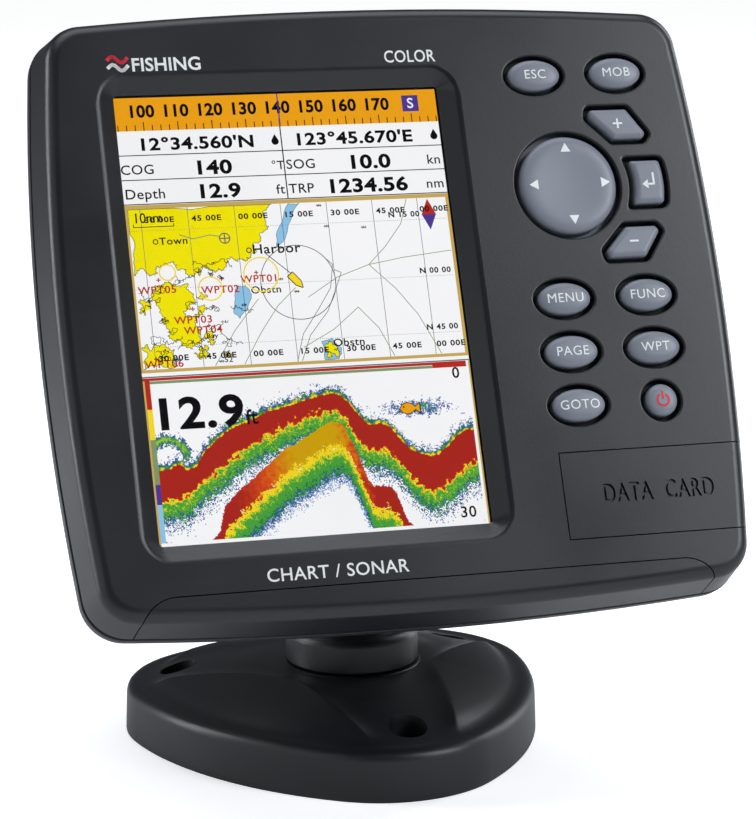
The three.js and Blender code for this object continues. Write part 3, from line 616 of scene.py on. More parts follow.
# %% Screw posts inside the bezel
for k in range(1, 5):
    x, u = centre(f"case_screw_{k}")
    post = turned("post", [(0, PARTING), (4, PARTING), (4, inner_n + 0.5), (0, inner_n + 0.5)], x=x, y=u,
                  steps=32)
    combine(bezel, post, "UNION")
    hole = turned("hole", [(0, PARTING - 1), (1.8, PARTING - 1), (1.8, -3), (0, -3)], x=x, y=u, steps=24)
    combine(bezel, hole)
fit(smooth(bezel), "head", "bezel_plastic", charcoal, "front_bezel")
fit(smooth(trim), "head", "bezel_plastic", charcoal, "lower_trim")
print("bezel:", len(bezel.data.polygons), "faces")

# %% [markdown]
# Lettering is real geometry here. Text is turned into flat shapes, scaled by the height of its
# capitals, and laid on whatever surface it is printed on, a hair above it. One sheet of ink can hold
# many words, lines and dots, and becomes a single thin mesh.

# %% Ink: words, lines and shapes gathered into one thin mesh
def glyphs(text, bold=0.0, spacing=1.0):
    curve = bpy.data.curves.new("words", "FONT")
    curve.body = text
    curve.offset = bold
    curve.space_character = spacing
    curve.resolution_u = 4
    words = bpy.data.objects.new("words", curve)
    bpy.context.scene.collection.objects.link(words)
    graph = bpy.context.evaluated_depsgraph_get()
    mesh = bpy.data.meshes.new_from_object(words.evaluated_get(graph))
    points = [(v.co.x, v.co.y) for v in mesh.vertices]
    faces = [tuple(p.vertices) for p in mesh.polygons]
    bpy.data.objects.remove(words)
    return points, faces

CAPITAL = max(y for x, y in glyphs("H")[0])

class Ink:
    def __init__(self):
        self.points, self.faces = [], []

    def shape(self, points, faces=None):
        start = len(self.points)
        self.points += [tuple(p) for p in points]
        faces = faces or [tuple(range(len(points)))]
        self.faces += [tuple(start + i for i in face) for face in faces]

    def words(self, text, x, y, capital, align=0.5, bold=0.0, spacing=1.0, narrow=1.0):
        """align 0 starts at x, 0.5 centres on it and 1 ends there; y is the baseline."""
        points, faces = glyphs(text, bold, spacing)
        left, right = min(p[0] for p in points), max(p[0] for p in points)
        k = capital / CAPITAL
        shift = left + (right - left) * align
        self.shape([(x + (px - shift) * k * narrow, y + py * k) for px, py in points], faces)

    def box(self, x0, x1, y0, y1):
        self.shape(rectangle(x0, x1, y0, y1))

    def line(self, points, width, closed=False):
        ends = list(points) + ([points[0]] if closed else [])
        for a, b in zip(ends, ends[1:]):
            a, b = Vector(a), Vector(b)
            along = (b - a).normalized() * width / 2
            across = Vector((-along.y, along.x))
            self.shape([a - along * 0.6 - across, b + along * 0.6 - across, b + along * 0.6 + across,
                        a - along * 0.6 + across])

    def dots(self, a, b, size, step):
        a, b = Vector(a), Vector(b)
        for k in range(int((b - a).length / step)):
            p = a + (b - a).normalized() * (k * step)
            self.box(p.x, p.x + size, p.y, p.y + size)

    def piece(self, name, surface, thickness=0.03):
        """surface(x, y) gives the place of the ink's underside and its outward direction."""
        lower = [surface(x, y) for x, y in self.points]
        work = bmesh.new()
        verts = [work.verts.new(place) for place, _ in lower]
        tops = [work.verts.new(place + normal * thickness * MM) for place, normal in lower]
        for face in self.faces:
            try:
                work.faces.new([tops[i] for i in face])
                work.faces.new([verts[i] for i in reversed(face)])
            except ValueError:
                continue
        used = {}
        for face in self.faces:
            for a, b in zip(face, face[1:] + face[:1]):
                used[(a, b)] = used.get((a, b), 0) + 1
        for a, b in used:
            if (b, a) not in used and used[(a, b)] == 1:
                work.faces.new([verts[a], verts[b], tops[b], tops[a]])
        bmesh.ops.recalc_face_normals(work, faces=work.faces)
        mesh = bpy.data.meshes.new(name)
        work.to_mesh(mesh)
        work.free()
        piece = bpy.data.objects.new(name, mesh)
        bpy.context.scene.collection.objects.link(piece)
        return piece

def flat_at(n):
    return lambda x, u: (head(x, u, n), OUT)

print("capital height of the font:", round(CAPITAL, 3))

# %% Card door: words pressed into the face
DOOR_WORDS = {"x": 60.8, "u": -54.6, "capital": 4.6}
pressed = Ink()
pressed.words("DATA  CARD", DOOR_WORDS["x"], DOOR_WORDS["u"], DOOR_WORDS["capital"], bold=0.012,
              spacing=1.12, narrow=0.68)
letters = pressed.piece("letters", flat_at(FACE - 0.6), 1.2)
combine(door, letters, solver="EXACT")
fit(smooth(door), "door", "bezel_plastic", charcoal, "card_door")
print("door:", len(door.data.polygons), "faces")

# %% Printed words on the bezel
print_ink = Ink()
print_ink.words("CHART / SONAR", -24.4, -68.2, 3.1, bold=0.008, spacing=1.06)
print_ink.words("FISHING", -44.6, 62.4, 3.3, align=1, bold=0.02, spacing=1.03, narrow=0.98)
print_ink.words("COLOR", 10.0, 62.9, 3.1, bold=0.01, spacing=1.05, narrow=0.84)
wave_ink = Ink()
for sheet, lift in ((print_ink, 0.0), (wave_ink, 2.1)):
    wave = [(-68.0 + 0.55 * i, 63.4 + lift + 0.8 * math.sin(i * 0.75)) for i in range(10)]
    sheet.line(wave, 0.9)
fit(wave_ink.piece("bezel_mark", flat_at(FACE)), "head", "bezel_plastic", red_paint_with_painted_glow)
bezel_print = print_ink.piece("bezel_print", flat_at(FACE))
fit(bezel_print, "head", "bezel_plastic", white_paint)
print("bezel print:", len(bezel_print.data.polygons), "faces")

# %% [markdown]
# A key is a domed cap on a wider black rubber flange. The flange is black to stand for the deep shade
# in the gap round the cap: painted shade. The cap is built from scaled copies of its outline, each one
# higher than the last. The height follows a steep curve, flat in the middle and quick at the rim, as
# moulded keys are. Legends follow the same curve, so they lie on the dome.

# %% Key caps
KEY_RIM, KEY_TOP, KEY_GAP = 3.35, 4.85, 1.2
INK_LIFT = 0.05

def dome(share, rim=KEY_RIM, top=KEY_TOP, power=4.0):
    """Height of a cap where its outline is scaled by share: 1 at the rim, 0 in the middle."""
    return rim + (top - rim) * math.sqrt(max(0.0, 1 - share ** power))

def domed_cap(name, node, rim=KEY_RIM, top=KEY_TOP, power=4.0, base=-0.2):
    outline = wells[node](-KEY_GAP)
    cx, cy = cap_middle(node)
    def scaled(share):
        return [(cx + (x - cx) * share, cy + (y - cy) * share) for x, y in outline]
    shares = [0.999, 0.995, 0.988, 0.975, 0.955, 0.925, 0.88, 0.81, 0.71, 0.58, 0.43, 0.27, 0.12]
    sections = [(base, outline), (rim, outline)]
    sections += [(dome(share, rim, top, power), scaled(share)) for share in shares]
    sections.append((top, scaled(0.01)))
    return loft(name, sections)

def cushioned_cap(name, node, rim=KEY_RIM, top=4.55, reach=1.5, base=-0.2):
    """A cap with a flat top and an evenly rolled rim, for outlines with corners."""
    turns = [math.pi / 2 * k / 9 for k in range(10)]
    rolled = [(rim + (top - rim) * math.sin(a),
               wells[node](-KEY_GAP - reach * (1 - math.cos(a)))) for a in turns]
    return loft(name, [(base, wells[node](-KEY_GAP))] + rolled)

def cap_middle(node):
    outline = wells[node](-KEY_GAP)
    xs, ys = [p[0] for p in outline], [p[1] for p in outline]
    return (min(xs) + max(xs)) / 2, (min(ys) + max(ys)) / 2

def cap_surface(node, rim=KEY_RIM, top=KEY_TOP, power=4.0):
    """The dome's height over a point, found from how far out the point lies towards the rim."""
    if node not in oval_keys:
        return flat_at(4.55 + INK_LIFT)
    outline = [Vector(p) for p in wells[node](-KEY_GAP)]
    middle_point = Vector(cap_middle(node))
    def reach(angle):
        best = min(outline, key=lambda p: abs(math.remainder(math.atan2(*(p - middle_point).yx) - angle,
                                                             math.tau)))
        return (best - middle_point).length
    def surface(x, y):
        offset = Vector((x, y)) - middle_point
        share = min(1.0, offset.length / reach(math.atan2(offset.y,
                                                          offset.x))) if offset.length > 1e-6 else 0.0
        return head(x, y, dome(share, rim, top, power) + INK_LIFT), OUT
    return surface

def flange(name, node, low=-1.4, high=-0.2):
    return loft(name, [(low, wells[node](KEY_FLANGE)), (high, wells[node](KEY_FLANGE))])

key_caps = {}
for node in wells:
    if node == "cursor_pad":
        continue
    body = node + "_cap"
    make_cap = domed_cap if node in oval_keys else cushioned_cap
    key_caps[node] = fit(smooth(make_cap(node + "_moulding", node), 50), body, "key_plastic", key_grey, node)
    # The black skirt under each cap stands for the deep shade in the gap round it: painted shade.
    fit(smooth(flange(node + "_skirt", node)), body, "black_rubber", rubber_black)
print("key caps:", len(key_caps))

# %% Cursor pad: a wide shallow disc with a finger dish
PAD_R = 12.9
pad_profile = [(0, -1.5), (15, -1.5), (15, -0.8), (PAD_R, -0.8), (PAD_R, 3.2), (PAD_R - 0.06, 3.7),
               (PAD_R - 0.25, 4.15),
               (PAD_R - 0.6, 4.55), (PAD_R - 1.1, 4.85), (PAD_R - 1.8, 5.05), (PAD_R - 2.8, 5.15),
               (PAD_R - 4.2, 5.12),
               (PAD_R - 6, 5.0), (PAD_R - 8, 4.88), (PAD_R - 10.5, 4.8), (0, 4.78)]
pad = turned("cursor_pad_moulding", pad_profile, x=cursor_x, y=cursor_u, steps=96)
fit(smooth(pad), "cursor_cap", "key_plastic", key_grey, "cursor_pad")

arrows = Ink()
for k in range(4):
    turn = Matrix.Rotation(k * math.pi / 2, 2)
    corners = [turn @ Vector(p) for p in [(-1.35, 8.5), (1.35, 8.5), (0, 10.9)]]
    arrows.shape([(cursor_x + p.x, cursor_u + p.y) for p in corners])
fit(arrows.piece("cursor_arrows", flat_at(max(n for _, n in pad_profile) + 0.01)), "cursor_cap",
    "key_plastic", white_paint)
print("cursor pad and its arrows made")

# %% Legends on the keys
legends = {"key_escape": "ESC", "key_man_overboard": "MOB", "key_menu": "MENU", "key_function": "FUNC",
           "key_page": "PAGE", "key_waypoint": "WPT", "key_goto": "GOTO"}
LEGEND_CAPITAL = 2.35

for node, text in legends.items():
    x, u = centre(node)
    ink = Ink()
    ink.words(text, x, u - LEGEND_CAPITAL / 2, LEGEND_CAPITAL, spacing=1.08)
    fit(ink.piece(node + "_legend", cap_surface(node)), node + "_cap", "key_plastic", white_paint)

def bars(node, shapes):
    ink = Ink()
    for x0, x1, y0, y1 in shapes:
        ink.box(x0, x1, y0, y1)
    return fit(ink.piece(node + "_legend", cap_surface(node)), node + "_cap", "key_plastic", white_paint)

zoom_x, zoom_u = cap_middle("key_zoom_in")
bars("key_zoom_in", [(zoom_x - 1.3, zoom_x + 1.3, zoom_u - 0.25, zoom_u + 0.25),
                     (zoom_x - 0.25, zoom_x + 0.25, zoom_u + 0.25, zoom_u + 1.3),
                     (zoom_x - 0.25, zoom_x + 0.25, zoom_u - 1.3, zoom_u - 0.25)])
zoom_x, zoom_u = cap_middle("key_zoom_out")
bars("key_zoom_out", [(zoom_x - 1.2, zoom_x + 1.2, zoom_u - 0.25, zoom_u + 0.25)])

enter_x, enter_u = cap_middle("key_enter")
ink = Ink()
ink.line([(enter_x + 1.3, enter_u + 2.1), (enter_x + 1.3, enter_u - 0.8), (enter_x - 0.4, enter_u - 0.8)],
         0.55)
ink.shape([(enter_x - 1.9, enter_u - 0.8), (enter_x - 0.3, enter_u - 2.0), (enter_x - 0.3, enter_u + 0.4)])
fit(ink.piece("key_enter_legend", cap_surface("key_enter")), "key_enter_cap", "key_plastic", white_paint)

power_x, power_u = centre("key_power")
ink = Ink()
ink.line([(power_x + 1.55 * math.sin(a), power_u - 0.15 + 1.55 * math.cos(a))
          for a in [math.radians(35 + 290 * i / 20) for i in range(21)]], 0.5)
ink.line([(power_x, power_u + 0.2), (power_x, power_u + 2.0)], 0.55)
fit(ink.piece("key_power_legend", cap_surface("key_power")), "key_power_cap", "key_plastic", red_paint_with_painted_glow)
print("legends printed on", len(legends) + 4, "keys")
# %% [markdown]
# The display shows a chart page over a sonar page. Its layout is given in millimetres from the lower
# left corner of the picture. Everything on it is lit from behind, so each colour is an emission that
# goes through one shared group, which adds the faint grid of the cells and a slow drift in the
# backlight.

# %% Backlit colours
PICTURE_LEFT, PICTURE_BOTTOM = PICTURE["x"] - PICTURE["w"] / 2, -PICTURE["h"] / 2

display_place, takes, gives = group("Display place", [], [("X", "Float"), ("Y", "Float")])
corner = head(PICTURE_LEFT, PICTURE_BOTTOM)
offset = put(display_place, "VectorMath", operation="SUBTRACT")
feed(display_place, offset.inputs[0], put(display_place, "TexCoord").outputs["Object"])
offset.inputs[1].default_value = corner
for label, direction in (("X", RIGHT), ("Y", UP)):
    along = put(display_place, "VectorMath", operation="DOT_PRODUCT")
    feed(display_place, along.inputs[0], offset.outputs["Vector"])
    along.inputs[1].default_value = direction
    feed(display_place, gives[label], calc(display_place, "DIVIDE", along.outputs["Value"], MM))

CELL = 0.25
backlight, takes, gives = group("Backlight", [("Color", "Color", (1, 1, 1, 1))], [("Color", "Color")])
place = use(backlight, display_place)
gaps = [calc(backlight, "GREATER_THAN", calc(backlight, "FRACT",
                                             calc(backlight, "DIVIDE", place[axis], CELL * 2)), 0.82)
        for axis in ("X", "Y")]
grid = calc(backlight, "MULTIPLY", calc(backlight, "MAXIMUM", *gaps), 0.035)
drift = between(backlight, cloud(backlight, 0.02, 1.0), 0.3, 0.7, 0.0, 0.04)
level = calc(backlight, "SUBTRACT", 1.0, calc(backlight, "ADD", grid, drift))
dimmed = put(backlight, "VectorMath", operation="SCALE")
feed(backlight, dimmed.inputs[0], takes["Color"])
feed(backlight, dimmed.inputs["Scale"], level)
feed(backlight, gives["Color"], dimmed.outputs["Vector"])

def shown(red, green, blue):
    """A colour as a screen shows it, from 0 to 255, turned into the linear values of a shader."""
    return tuple((channel / 255) ** 2.2 for channel in (red, green, blue)) + (1,)

def glowing(name, colour):
    material = bpy.data.materials.new(name)
    material.use_nodes = True
    tree = material.node_tree
    shader = tree.nodes["Principled BSDF"]
    wipes = use(tree, handling, Patch_Size=20.0, Scuffs=0.2)
    shader.inputs["Base Color"].default_value = (0.004, 0.004, 0.004, 1)
    shader.inputs["Specular IOR Level"].default_value = 0.0
    feed(tree, shader.inputs["Roughness"], between(tree, wipes["Patches"], 0, 1, 0.5, 0.6))
    value = colour(tree) if callable(colour) else colour
    feed(tree, shader.inputs["Emission Color"], use(tree, backlight, Color=value)["Color"])
    shader.inputs["Emission Strength"].default_value = 1.0
    return material

print("backlight group made; one cell is", CELL, "mm")

# %% [markdown]
# The sonar page is a shader of its own. Depth runs down the picture and time runs across it. Two
# curves give the sea bed and its second echo, and the colour of a cell depends on how far below each
# curve it lies. Random values that are the same all over one cell break the bands up into speckle.

# %% Sonar echoes
FIELD = {"left": 1.75, "right": 82.5, "bottom": 0.9, "top": 40.3}
FIELD_H = FIELD["top"] - FIELD["bottom"]
BED = [(0.02, 0.55), (0.067, 0.515), (0.085, 0.55), (0.15, 0.435), (0.225, 0.32), (0.3, 0.26), (0.37, 0.21),
       (0.45, 0.17), (0.52, 0.137), (0.56, 0.124), (0.6, 0.17), (0.636, 0.27), (0.674, 0.34), (0.704, 0.337),
       (0.763, 0.45), (0.793, 0.52), (0.86, 0.56), (0.9, 0.52), (0.94, 0.45), (0.98, 0.41)]
BED_UNDERSIDE = [(0.02, 0.73), (0.075, 0.72), (0.11, 0.66), (0.19, 0.55), (0.26, 0.45), (0.34, 0.37),
                 (0.45, 0.28),
                 (0.52, 0.24), (0.57, 0.235), (0.6, 0.32), (0.65, 0.48), (0.71, 0.51), (0.75, 0.59),
                 (0.79, 0.705),
                 (0.84, 0.78), (0.88, 0.76), (0.94, 0.67), (0.98, 0.625)]
SECOND_ECHO = [(0.142, 1.0), (0.19, 0.8), (0.225, 0.73), (0.3, 0.61), (0.34, 0.55), (0.39, 0.47),
               (0.45, 0.41),
               (0.52, 0.33), (0.554, 0.308), (0.576, 0.324), (0.6, 0.42), (0.62, 0.53), (0.636, 0.64),
               (0.66, 0.73),
               (0.7, 0.737), (0.72, 0.77), (0.74, 0.88), (0.766, 1.0)]
RED, ORANGE, GOLD, YELLOW = shown(168, 42, 34), shown(216, 78, 28), shown(206, 160, 12), shown(244, 214, 40)
LIME, GREEN, DEEP_GREEN = shown(150, 196, 50), shown(74, 160, 62), shown(38, 116, 70)
BLUE, PALE_BLUE, WHITE = shown(58, 84, 160), shown(150, 176, 214), shown(250, 250, 252)

def follow(tree, across, points):
    node = put(tree, "FloatCurve")
    curve = node.mapping.curves[0]
    first, last = curve.points[0], curve.points[-1]
    first.location = (0, points[0][1])
    last.location = (1, points[-1][1])
    for x, y in points:
        curve.points.new(x, y)
    node.mapping.update()
    feed(tree, node.inputs["Value"], across)
    return node.outputs["Value"]

def shades(tree, value, low, high, stops, blending="CONSTANT"):
    """Bands of colour: each stop is (where it starts, colour), in the units of value."""
    ramp = put(tree, "ValToRGB")
    ramp.color_ramp.interpolation = blending
    elements = ramp.color_ramp.elements
    elements[0].color = stops[0][1]
    elements.remove(elements[-1])
    for start, colour in stops[1:]:
        elements.new((start - low) / (high - low)).color = colour
    feed(tree, ramp.inputs["Fac"], between(tree, value, low, high))
    return ramp.outputs["Color"]

def sonar_colour(tree):
    place = use(tree, display_place)
    x, y = [calc(tree, "MULTIPLY", calc(tree, "FLOOR", calc(tree, "DIVIDE", place[axis], CELL)), CELL)
            for axis in ("X", "Y")]
    across = between(tree, x, FIELD["left"], FIELD["right"])
    below = calc(tree, "SUBTRACT", FIELD["top"], y)
    cell = put(tree, "CombineXYZ")
    feed(tree, cell.inputs["X"], x)
    feed(tree, cell.inputs["Y"], y)
    speck = put(tree, "TexWhiteNoise", noise_dimensions="2D")
    feed(tree, speck.inputs["Vector"], cell.outputs["Vector"])
    speck = calc(tree, "SUBTRACT", speck.outputs["Value"], 0.5)
    clump = put(tree, "TexNoise", noise_dimensions="2D")
    clump.inputs["Scale"].default_value = 0.75
    clump.inputs["Detail"].default_value = 3.0
    feed(tree, clump.inputs["Vector"], cell.outputs["Vector"])
    clump = calc(tree, "SUBTRACT", clump.outputs["Fac"], 0.5)

    def under(points, jag):
        edge = calc(tree, "MULTIPLY", follow(tree, across, points), FIELD_H)
        return calc(tree, "ADD", calc(tree, "SUBTRACT", below, edge), calc(tree, "MULTIPLY", clump, jag))

    def scattered(depth, lumps, spread):
        """Shifts a depth by the clumps, and by the specks in proportion to the depth."""
        loose = calc(tree, "MULTIPLY", calc(tree, "MULTIPLY", depth, speck), spread)
        return calc(tree, "ADD", calc(tree, "ADD", depth, loose), calc(tree, "MULTIPLY", clump, lumps))

    bed = under(BED, 1.6)
    past_red = scattered(under(BED_UNDERSIDE, 1.6), 4.4, 0.65)
    echo = shades(tree, past_red, -1, 11, [(-1, RED), (0, ORANGE), (0.3, YELLOW), (0.9, LIME), (1.5, GREEN),
                                           (2.9, LIME), (3.2, GREEN), (4.3, DEEP_GREEN), (5.0, BLUE),
                                           (5.9, PALE_BLUE),
                                           (6.3, WHITE), (6.9, BLUE), (7.1, WHITE)])
    above = scattered(calc(tree, "MULTIPLY", bed, -1.0), 5.0, 1.0)
    fringe = shades(tree, above, 0, 3, [(0, YELLOW), (0.1, GREEN), (0.55, DEEP_GREEN), (0.85, BLUE),
                                        (1.35, PALE_BLUE),
                                        (1.55, WHITE)])
    picture = blend(tree, calc(tree, "GREATER_THAN", bed, 0.0), fringe, echo)

    second = under(SECOND_ECHO, 1.6)
    inner = scattered(second, 3.6, 0.22)
    limb = shades(tree, calc(tree, "ADD", across, calc(tree, "MULTIPLY", clump, 0.12)), 0, 1,
                  [(0, RED), (0.24, RED), (0.33, ORANGE), (0.42, GOLD), (0.565, GOLD), (0.61, ORANGE),
                   (0.66, RED)], "LINEAR")
    core = shades(tree, inner, 0, 18, [(0, WHITE), (5.8, YELLOW), (7.8, LIME), (8.6, GREEN),
                                       (12.0, DEEP_GREEN),
                                       (12.8, BLUE), (14.0, PALE_BLUE), (15.2, WHITE)])
    nested = blend(tree, calc(tree, "GREATER_THAN", inner, 5.8), limb, core)
    picture = blend(tree, calc(tree, "GREATER_THAN", second, 0.0), picture, nested)

    def near(cx, cy, reach_x, reach_y):
        """How far out a cell lies in an oval: 0 in its middle, 1 on its rim."""
        dx = calc(tree, "DIVIDE", calc(tree, "SUBTRACT", x, cx), reach_x)
        dy = calc(tree, "DIVIDE", calc(tree, "SUBTRACT", y, cy), reach_y)
        return calc(tree, "SQRT", calc(tree, "ADD", calc(tree, "MULTIPLY", dx, dx),
                                       calc(tree, "MULTIPLY", dy, dy)))

    def spray(picture, distance, stops):
        loose = calc(tree, "ADD", distance, calc(tree, "ADD", calc(tree, "MULTIPLY", speck, 0.7),
                                                 calc(tree, "MULTIPLY", clump, 1.6)))
        colours = shades(tree, loose, 0, 1, stops)
        return blend(tree, calc(tree, "LESS_THAN", loose, 1.0), picture, colours)

    school = near(68.0, 30.4, 9.0, 2.3)
    picture = spray(picture, calc(tree, "ADD", school, 0.25),
                    [(0, GREEN), (0.35, DEEP_GREEN), (0.5, PALE_BLUE), (0.75, BLUE)])
    arch = calc(tree, "ABSOLUTE", calc(tree, "SUBTRACT", near(4.4, 21.0, 4.6, 5.2), 1.0))
    arch = calc(tree, "ADD", calc(tree, "MULTIPLY", arch, 3.0), 0.2)
    arch = calc(tree, "ADD", arch, calc(tree, "MAXIMUM", calc(tree, "SUBTRACT", 21.5, y), 0.0))
    return spray(picture, arch, [(0, LIME), (0.3, GREEN), (0.65, BLUE)])

sonar = glowing("Sonar echoes", sonar_colour)
print("sonar shader has", len(sonar.node_tree.nodes), "nodes")

# %% [markdown]
# The rest of the picture is ink, one thin mesh for each colour, laid one over the other in a fixed
# order. A coast is a rough line through a few points: each stretch is split in two again and again,
# and the new point is pushed sideways by a seeded random amount.

# %% The display picture: sheets of ink
random.seed(7)
DISPLAY_SHEETS = ["white", "field", "sea", "land", "strip", "grey", "track", "amber", "red", "ink",
                  "violet", "page", "bright"]
SHEET_BASE, SHEET_STEP, SHEET_T = -1.29, 0.02, 0.015
sheets = {name: Ink() for name in DISPLAY_SHEETS if name not in ("white", "field")}

def rough(points, push, rounds=3):
    closed = points
    for _ in range(rounds):
        split = []
        for a, b in zip(closed, closed[1:] + closed[:1]):
            ax, ay, bx, by = *a, *b
            shift = random.uniform(-push, push)
            length = max(math.hypot(bx - ax, by - ay), 1e-6)
            split += [a, ((ax + bx) / 2 - (by - ay) / length * shift,
                          (ay + by) / 2 + (bx - ax) / length * shift)]
        closed, push = split, push * 0.55
    return closed

def clipped(points, x0=0.7, x1=82.7, y0=44.1, y1=84.9):
    return [(min(max(x, x0), x1), min(max(y, y0), y1)) for x, y in points]

strip, ink, grey = sheets["strip"], sheets["ink"], sheets["grey"]
strip.box(0, 83.6, 105.3, 114)
for k in range(41):
    x = 7.0 - 8.7 + 8.7 * k / 4
    if 0.3 < x < 83.3:
        ink.box(x - 0.12, x + 0.12, 105.3, 107.6 if k % 4 == 0 else 106.8)
for k in range(8):
    ink.words(str(100 + 10 * k), 7.0 + 8.7 * k, 108.9, 3.0, bold=0.035, spacing=1.06)
ink.box(41.6, 41.9, 86.2, 105.3)
for y in (98.9, 92.5, 86.2):
    ink.box(0, 83.6, y - 0.12, y + 0.12)
sheets["violet"].box(74.5, 78.8, 108.2, 112.5)
sheets["bright"].words("S", 76.65, 109.1, 2.6, bold=0.015)
sheets["violet"].box(41.75, 42.05, 105.3, 114)
print("strip and rows laid out")

# %% Readings in the three rows
readings = [("12°34.560'N", 20.2, 100.2, 3.0, 0.03), ("123°45.670'E", 61.0, 100.2, 3.0, 0.03),
            ("COG", 4.2, 94.0, 2.4, 0.008), ("140", 23.9, 93.5, 3.4, 0.034), ("SOG", 46.0, 94.0, 2.4, 0.008),
            ("10.0", 64.4, 93.5, 3.4, 0.034), ("kn", 81.0, 94.0, 2.4, 0.008), ("°T", 40.2, 94.0, 2.2, 0.008),
            ("Depth", 5.6, 87.6, 2.5, 0.008), ("12.9", 24.7, 87.3, 3.4, 0.034),
            ("ft", 40.1, 87.6, 2.4, 0.008),
            ("TRP", 45.5, 87.6, 2.4, 0.008), ("1234.56", 63.2, 87.3, 3.4, 0.034),
            ("nm", 80.6, 87.6, 2.4, 0.008)]
for text, x, y, capital, bold in readings:
    ink.words(text, x, y, capital, bold=bold, spacing=1.06, narrow=1.26 if bold > 0.02 else 1.05)
for x in (40.1, 81.9):
    ink.shape(ellipse(x, 101.4, 0.95, 0.95, 16))
    ink.shape([(x - 0.8, 101.9), (x + 0.8, 101.9), (x, 103.3)])
print("readings:", len(readings))

# %% The chart: a coast, an inlet, soundings, tracks and waypoints
land, sea, track, amber, red, page = [sheets[name] for name in ("land", "sea", "track", "amber", "red",
                                                                "page")]
mainland = [(0.7, 85.2), (37.2, 85.2), (35.4, 80.5), (33.4, 76.0), (32.0, 72.6), (29.0, 70.2), (26.5, 71.0),
            (24.0, 69.2),
            (21.0, 67.9), (17.0, 67.2), (14.0, 66.8), (11.5, 69.2), (9.0, 70.7), (6.5, 69.5), (4.0, 68.4),
            (0.7, 68.0)]
islands = [[(8.0, 66.0), (14.0, 65.3), (15.6, 60.5), (12.6, 56.8), (15.4, 53.4), (16.0, 50.4), (13.4, 48.6),
            (10.0, 51.0),
            (7.2, 55.2), (5.4, 60.2), (6.4, 64.2)],
           [(0.7, 49.6), (3.2, 49.0), (5.6, 50.2), (8.4, 47.6), (9.2, 44.6), (0.7, 44.1)],
           [(1.2, 61.0), (3.4, 61.6), (4.0, 59.4), (2.4, 57.8), (1.0, 58.6)],
           [(15.0, 48.6), (17.4, 48.8), (17.0, 46.4), (15.2, 46.6)],
           [(46.8, 47.4), (49.6, 48.0), (50.2, 45.4), (47.4, 44.4)]]
inlet = [(41.6, 84.9), (44.4, 84.9), (42.2, 81.6), (40.8, 78.6), (39.4, 75.2), (37.4, 73.6), (37.6, 76.8),
         (39.6, 80.6)]
shoals = [[(26.0, 64.0), (28.2, 64.2), (29.6, 61.8), (28.2, 58.0), (26.0, 55.8), (24.6, 57.4), (25.4, 61.0)],
          [(46.0, 48.8), (48.8, 49.6), (51.0, 46.8), (50.0, 44.2), (46.4, 44.1)],
          [(5.0, 48.4), (8.0, 48.0), (9.8, 46.0), (7.6, 44.6)]]
for shape in [mainland] + islands:
    coast = clipped(rough(shape, 1.7, 4))
    land.shape(coast)
    ink.line(coast, 0.13, closed=True)
for shape in [inlet] + shoals:
    edge = clipped(rough(shape, 0.35, 2))
    sea.shape(edge)
    grey.line(edge, 0.12, closed=True)
for k in range(26):
    x, y = random.uniform(1.5, 24), random.uniform(46, 70)
    reach = random.uniform(0.5, 1.5)
    islet = clipped(rough([(x - reach, y), (x, y - reach * 0.7), (x + reach, y), (x, y + reach * 0.7)], 0.8))
    if k % 2:
        land.shape(islet)
    ink.line(islet, 0.13, closed=True)
for k in range(12):
    x, y = random.uniform(1, 26), random.uniform(47, 72)
    creek = [(x + 1.1 * i, y + 1.1 * math.sin(i * 0.8 + k)) for i in range(6)]
    bank = clipped(rough(creek, 0.9, 2))
    ink.line(bank[:-4], 0.15)
for x0, x1, y0, y1 in ((0, 83.6, 85.0, 86.0), (0, 83.6, 43.2, 44.0), (0, 0.6, 44.0, 85.0),
                       (82.8, 83.6, 44.0, 85.0)):
    amber.box(x0, x1, y0, y1)
GRID_X = [3.8 + 11.9 * k for k in range(7)]
for x in GRID_X:
    grey.box(x - 0.07, x + 0.07, 44.0, 85.0)
for y in (79.3, 64.3, 49.5):
    grey.dots((0.7, y), (82.7, y), 0.16, 0.55)
minutes = ["30 00E", "45 00E", "00 00E", "15 00E", "30 00E", "45 00E", "00 00E"]
for x, text in zip(GRID_X, minutes):
    ink.words(text, min(x + 4.6, 79.4), 81.4, 1.35, bold=0.03, spacing=1.15, narrow=1.2)
    ink.words(text, min(x + 4.6, 79.4), 46.0, 1.35, bold=0.03, spacing=1.15, narrow=1.2)
for y, text in ((80.2, "N 15 00"), (65.2, "N 00 00"), (50.4, "N 45 00")):
    ink.words(text, 81.8 if y < 80 else 75.4, y, 1.35, align=1, bold=0.03, spacing=1.15, narrow=1.1)
print("chart outlines laid out")

# %% Names, marks and the boat
ink.words("10nm", 5.8, 81.4, 2.5, bold=0.008, narrow=0.9)
ink.line([(1.8, 81.0), (1.8, 80.3), (11.9, 80.3), (11.9, 81.0)], 0.2)
for text, x, y, capital in (("Town", 7.8, 75.6, 1.8), ("Harbor", 31.2, 72.2, 2.4), ("Obstn", 29.6, 62.0, 1.8),
                            ("Obstn", 49.0, 47.4, 1.9), ("Bay", 17.2, 51.2, 1.2), ("52", 21.0, 44.9, 1.3)):
    ink.words(text, x, y, capital, align=0, bold=0.014, spacing=1.08, narrow=1.1)
for x, y in ((6.9, 76.4), (30.2, 73.2)):
    ink.line(ellipse(x, y, 0.6, 0.6, 14), 0.25, closed=True)
for x, y in ((49.4, 84.1), (50.8, 78.6), (60.4, 77.9), (37.4, 65.4), (41.2, 62.0), (27.4, 59.2),
             (20.2, 45.2)):
    ink.box(x - 0.7, x + 0.7, y - 0.1, y + 0.1)
    for k in (-0.4, 0, 0.4):
        ink.box(x + k - 0.08, x + k + 0.08, y - 0.35, y + 0.35)
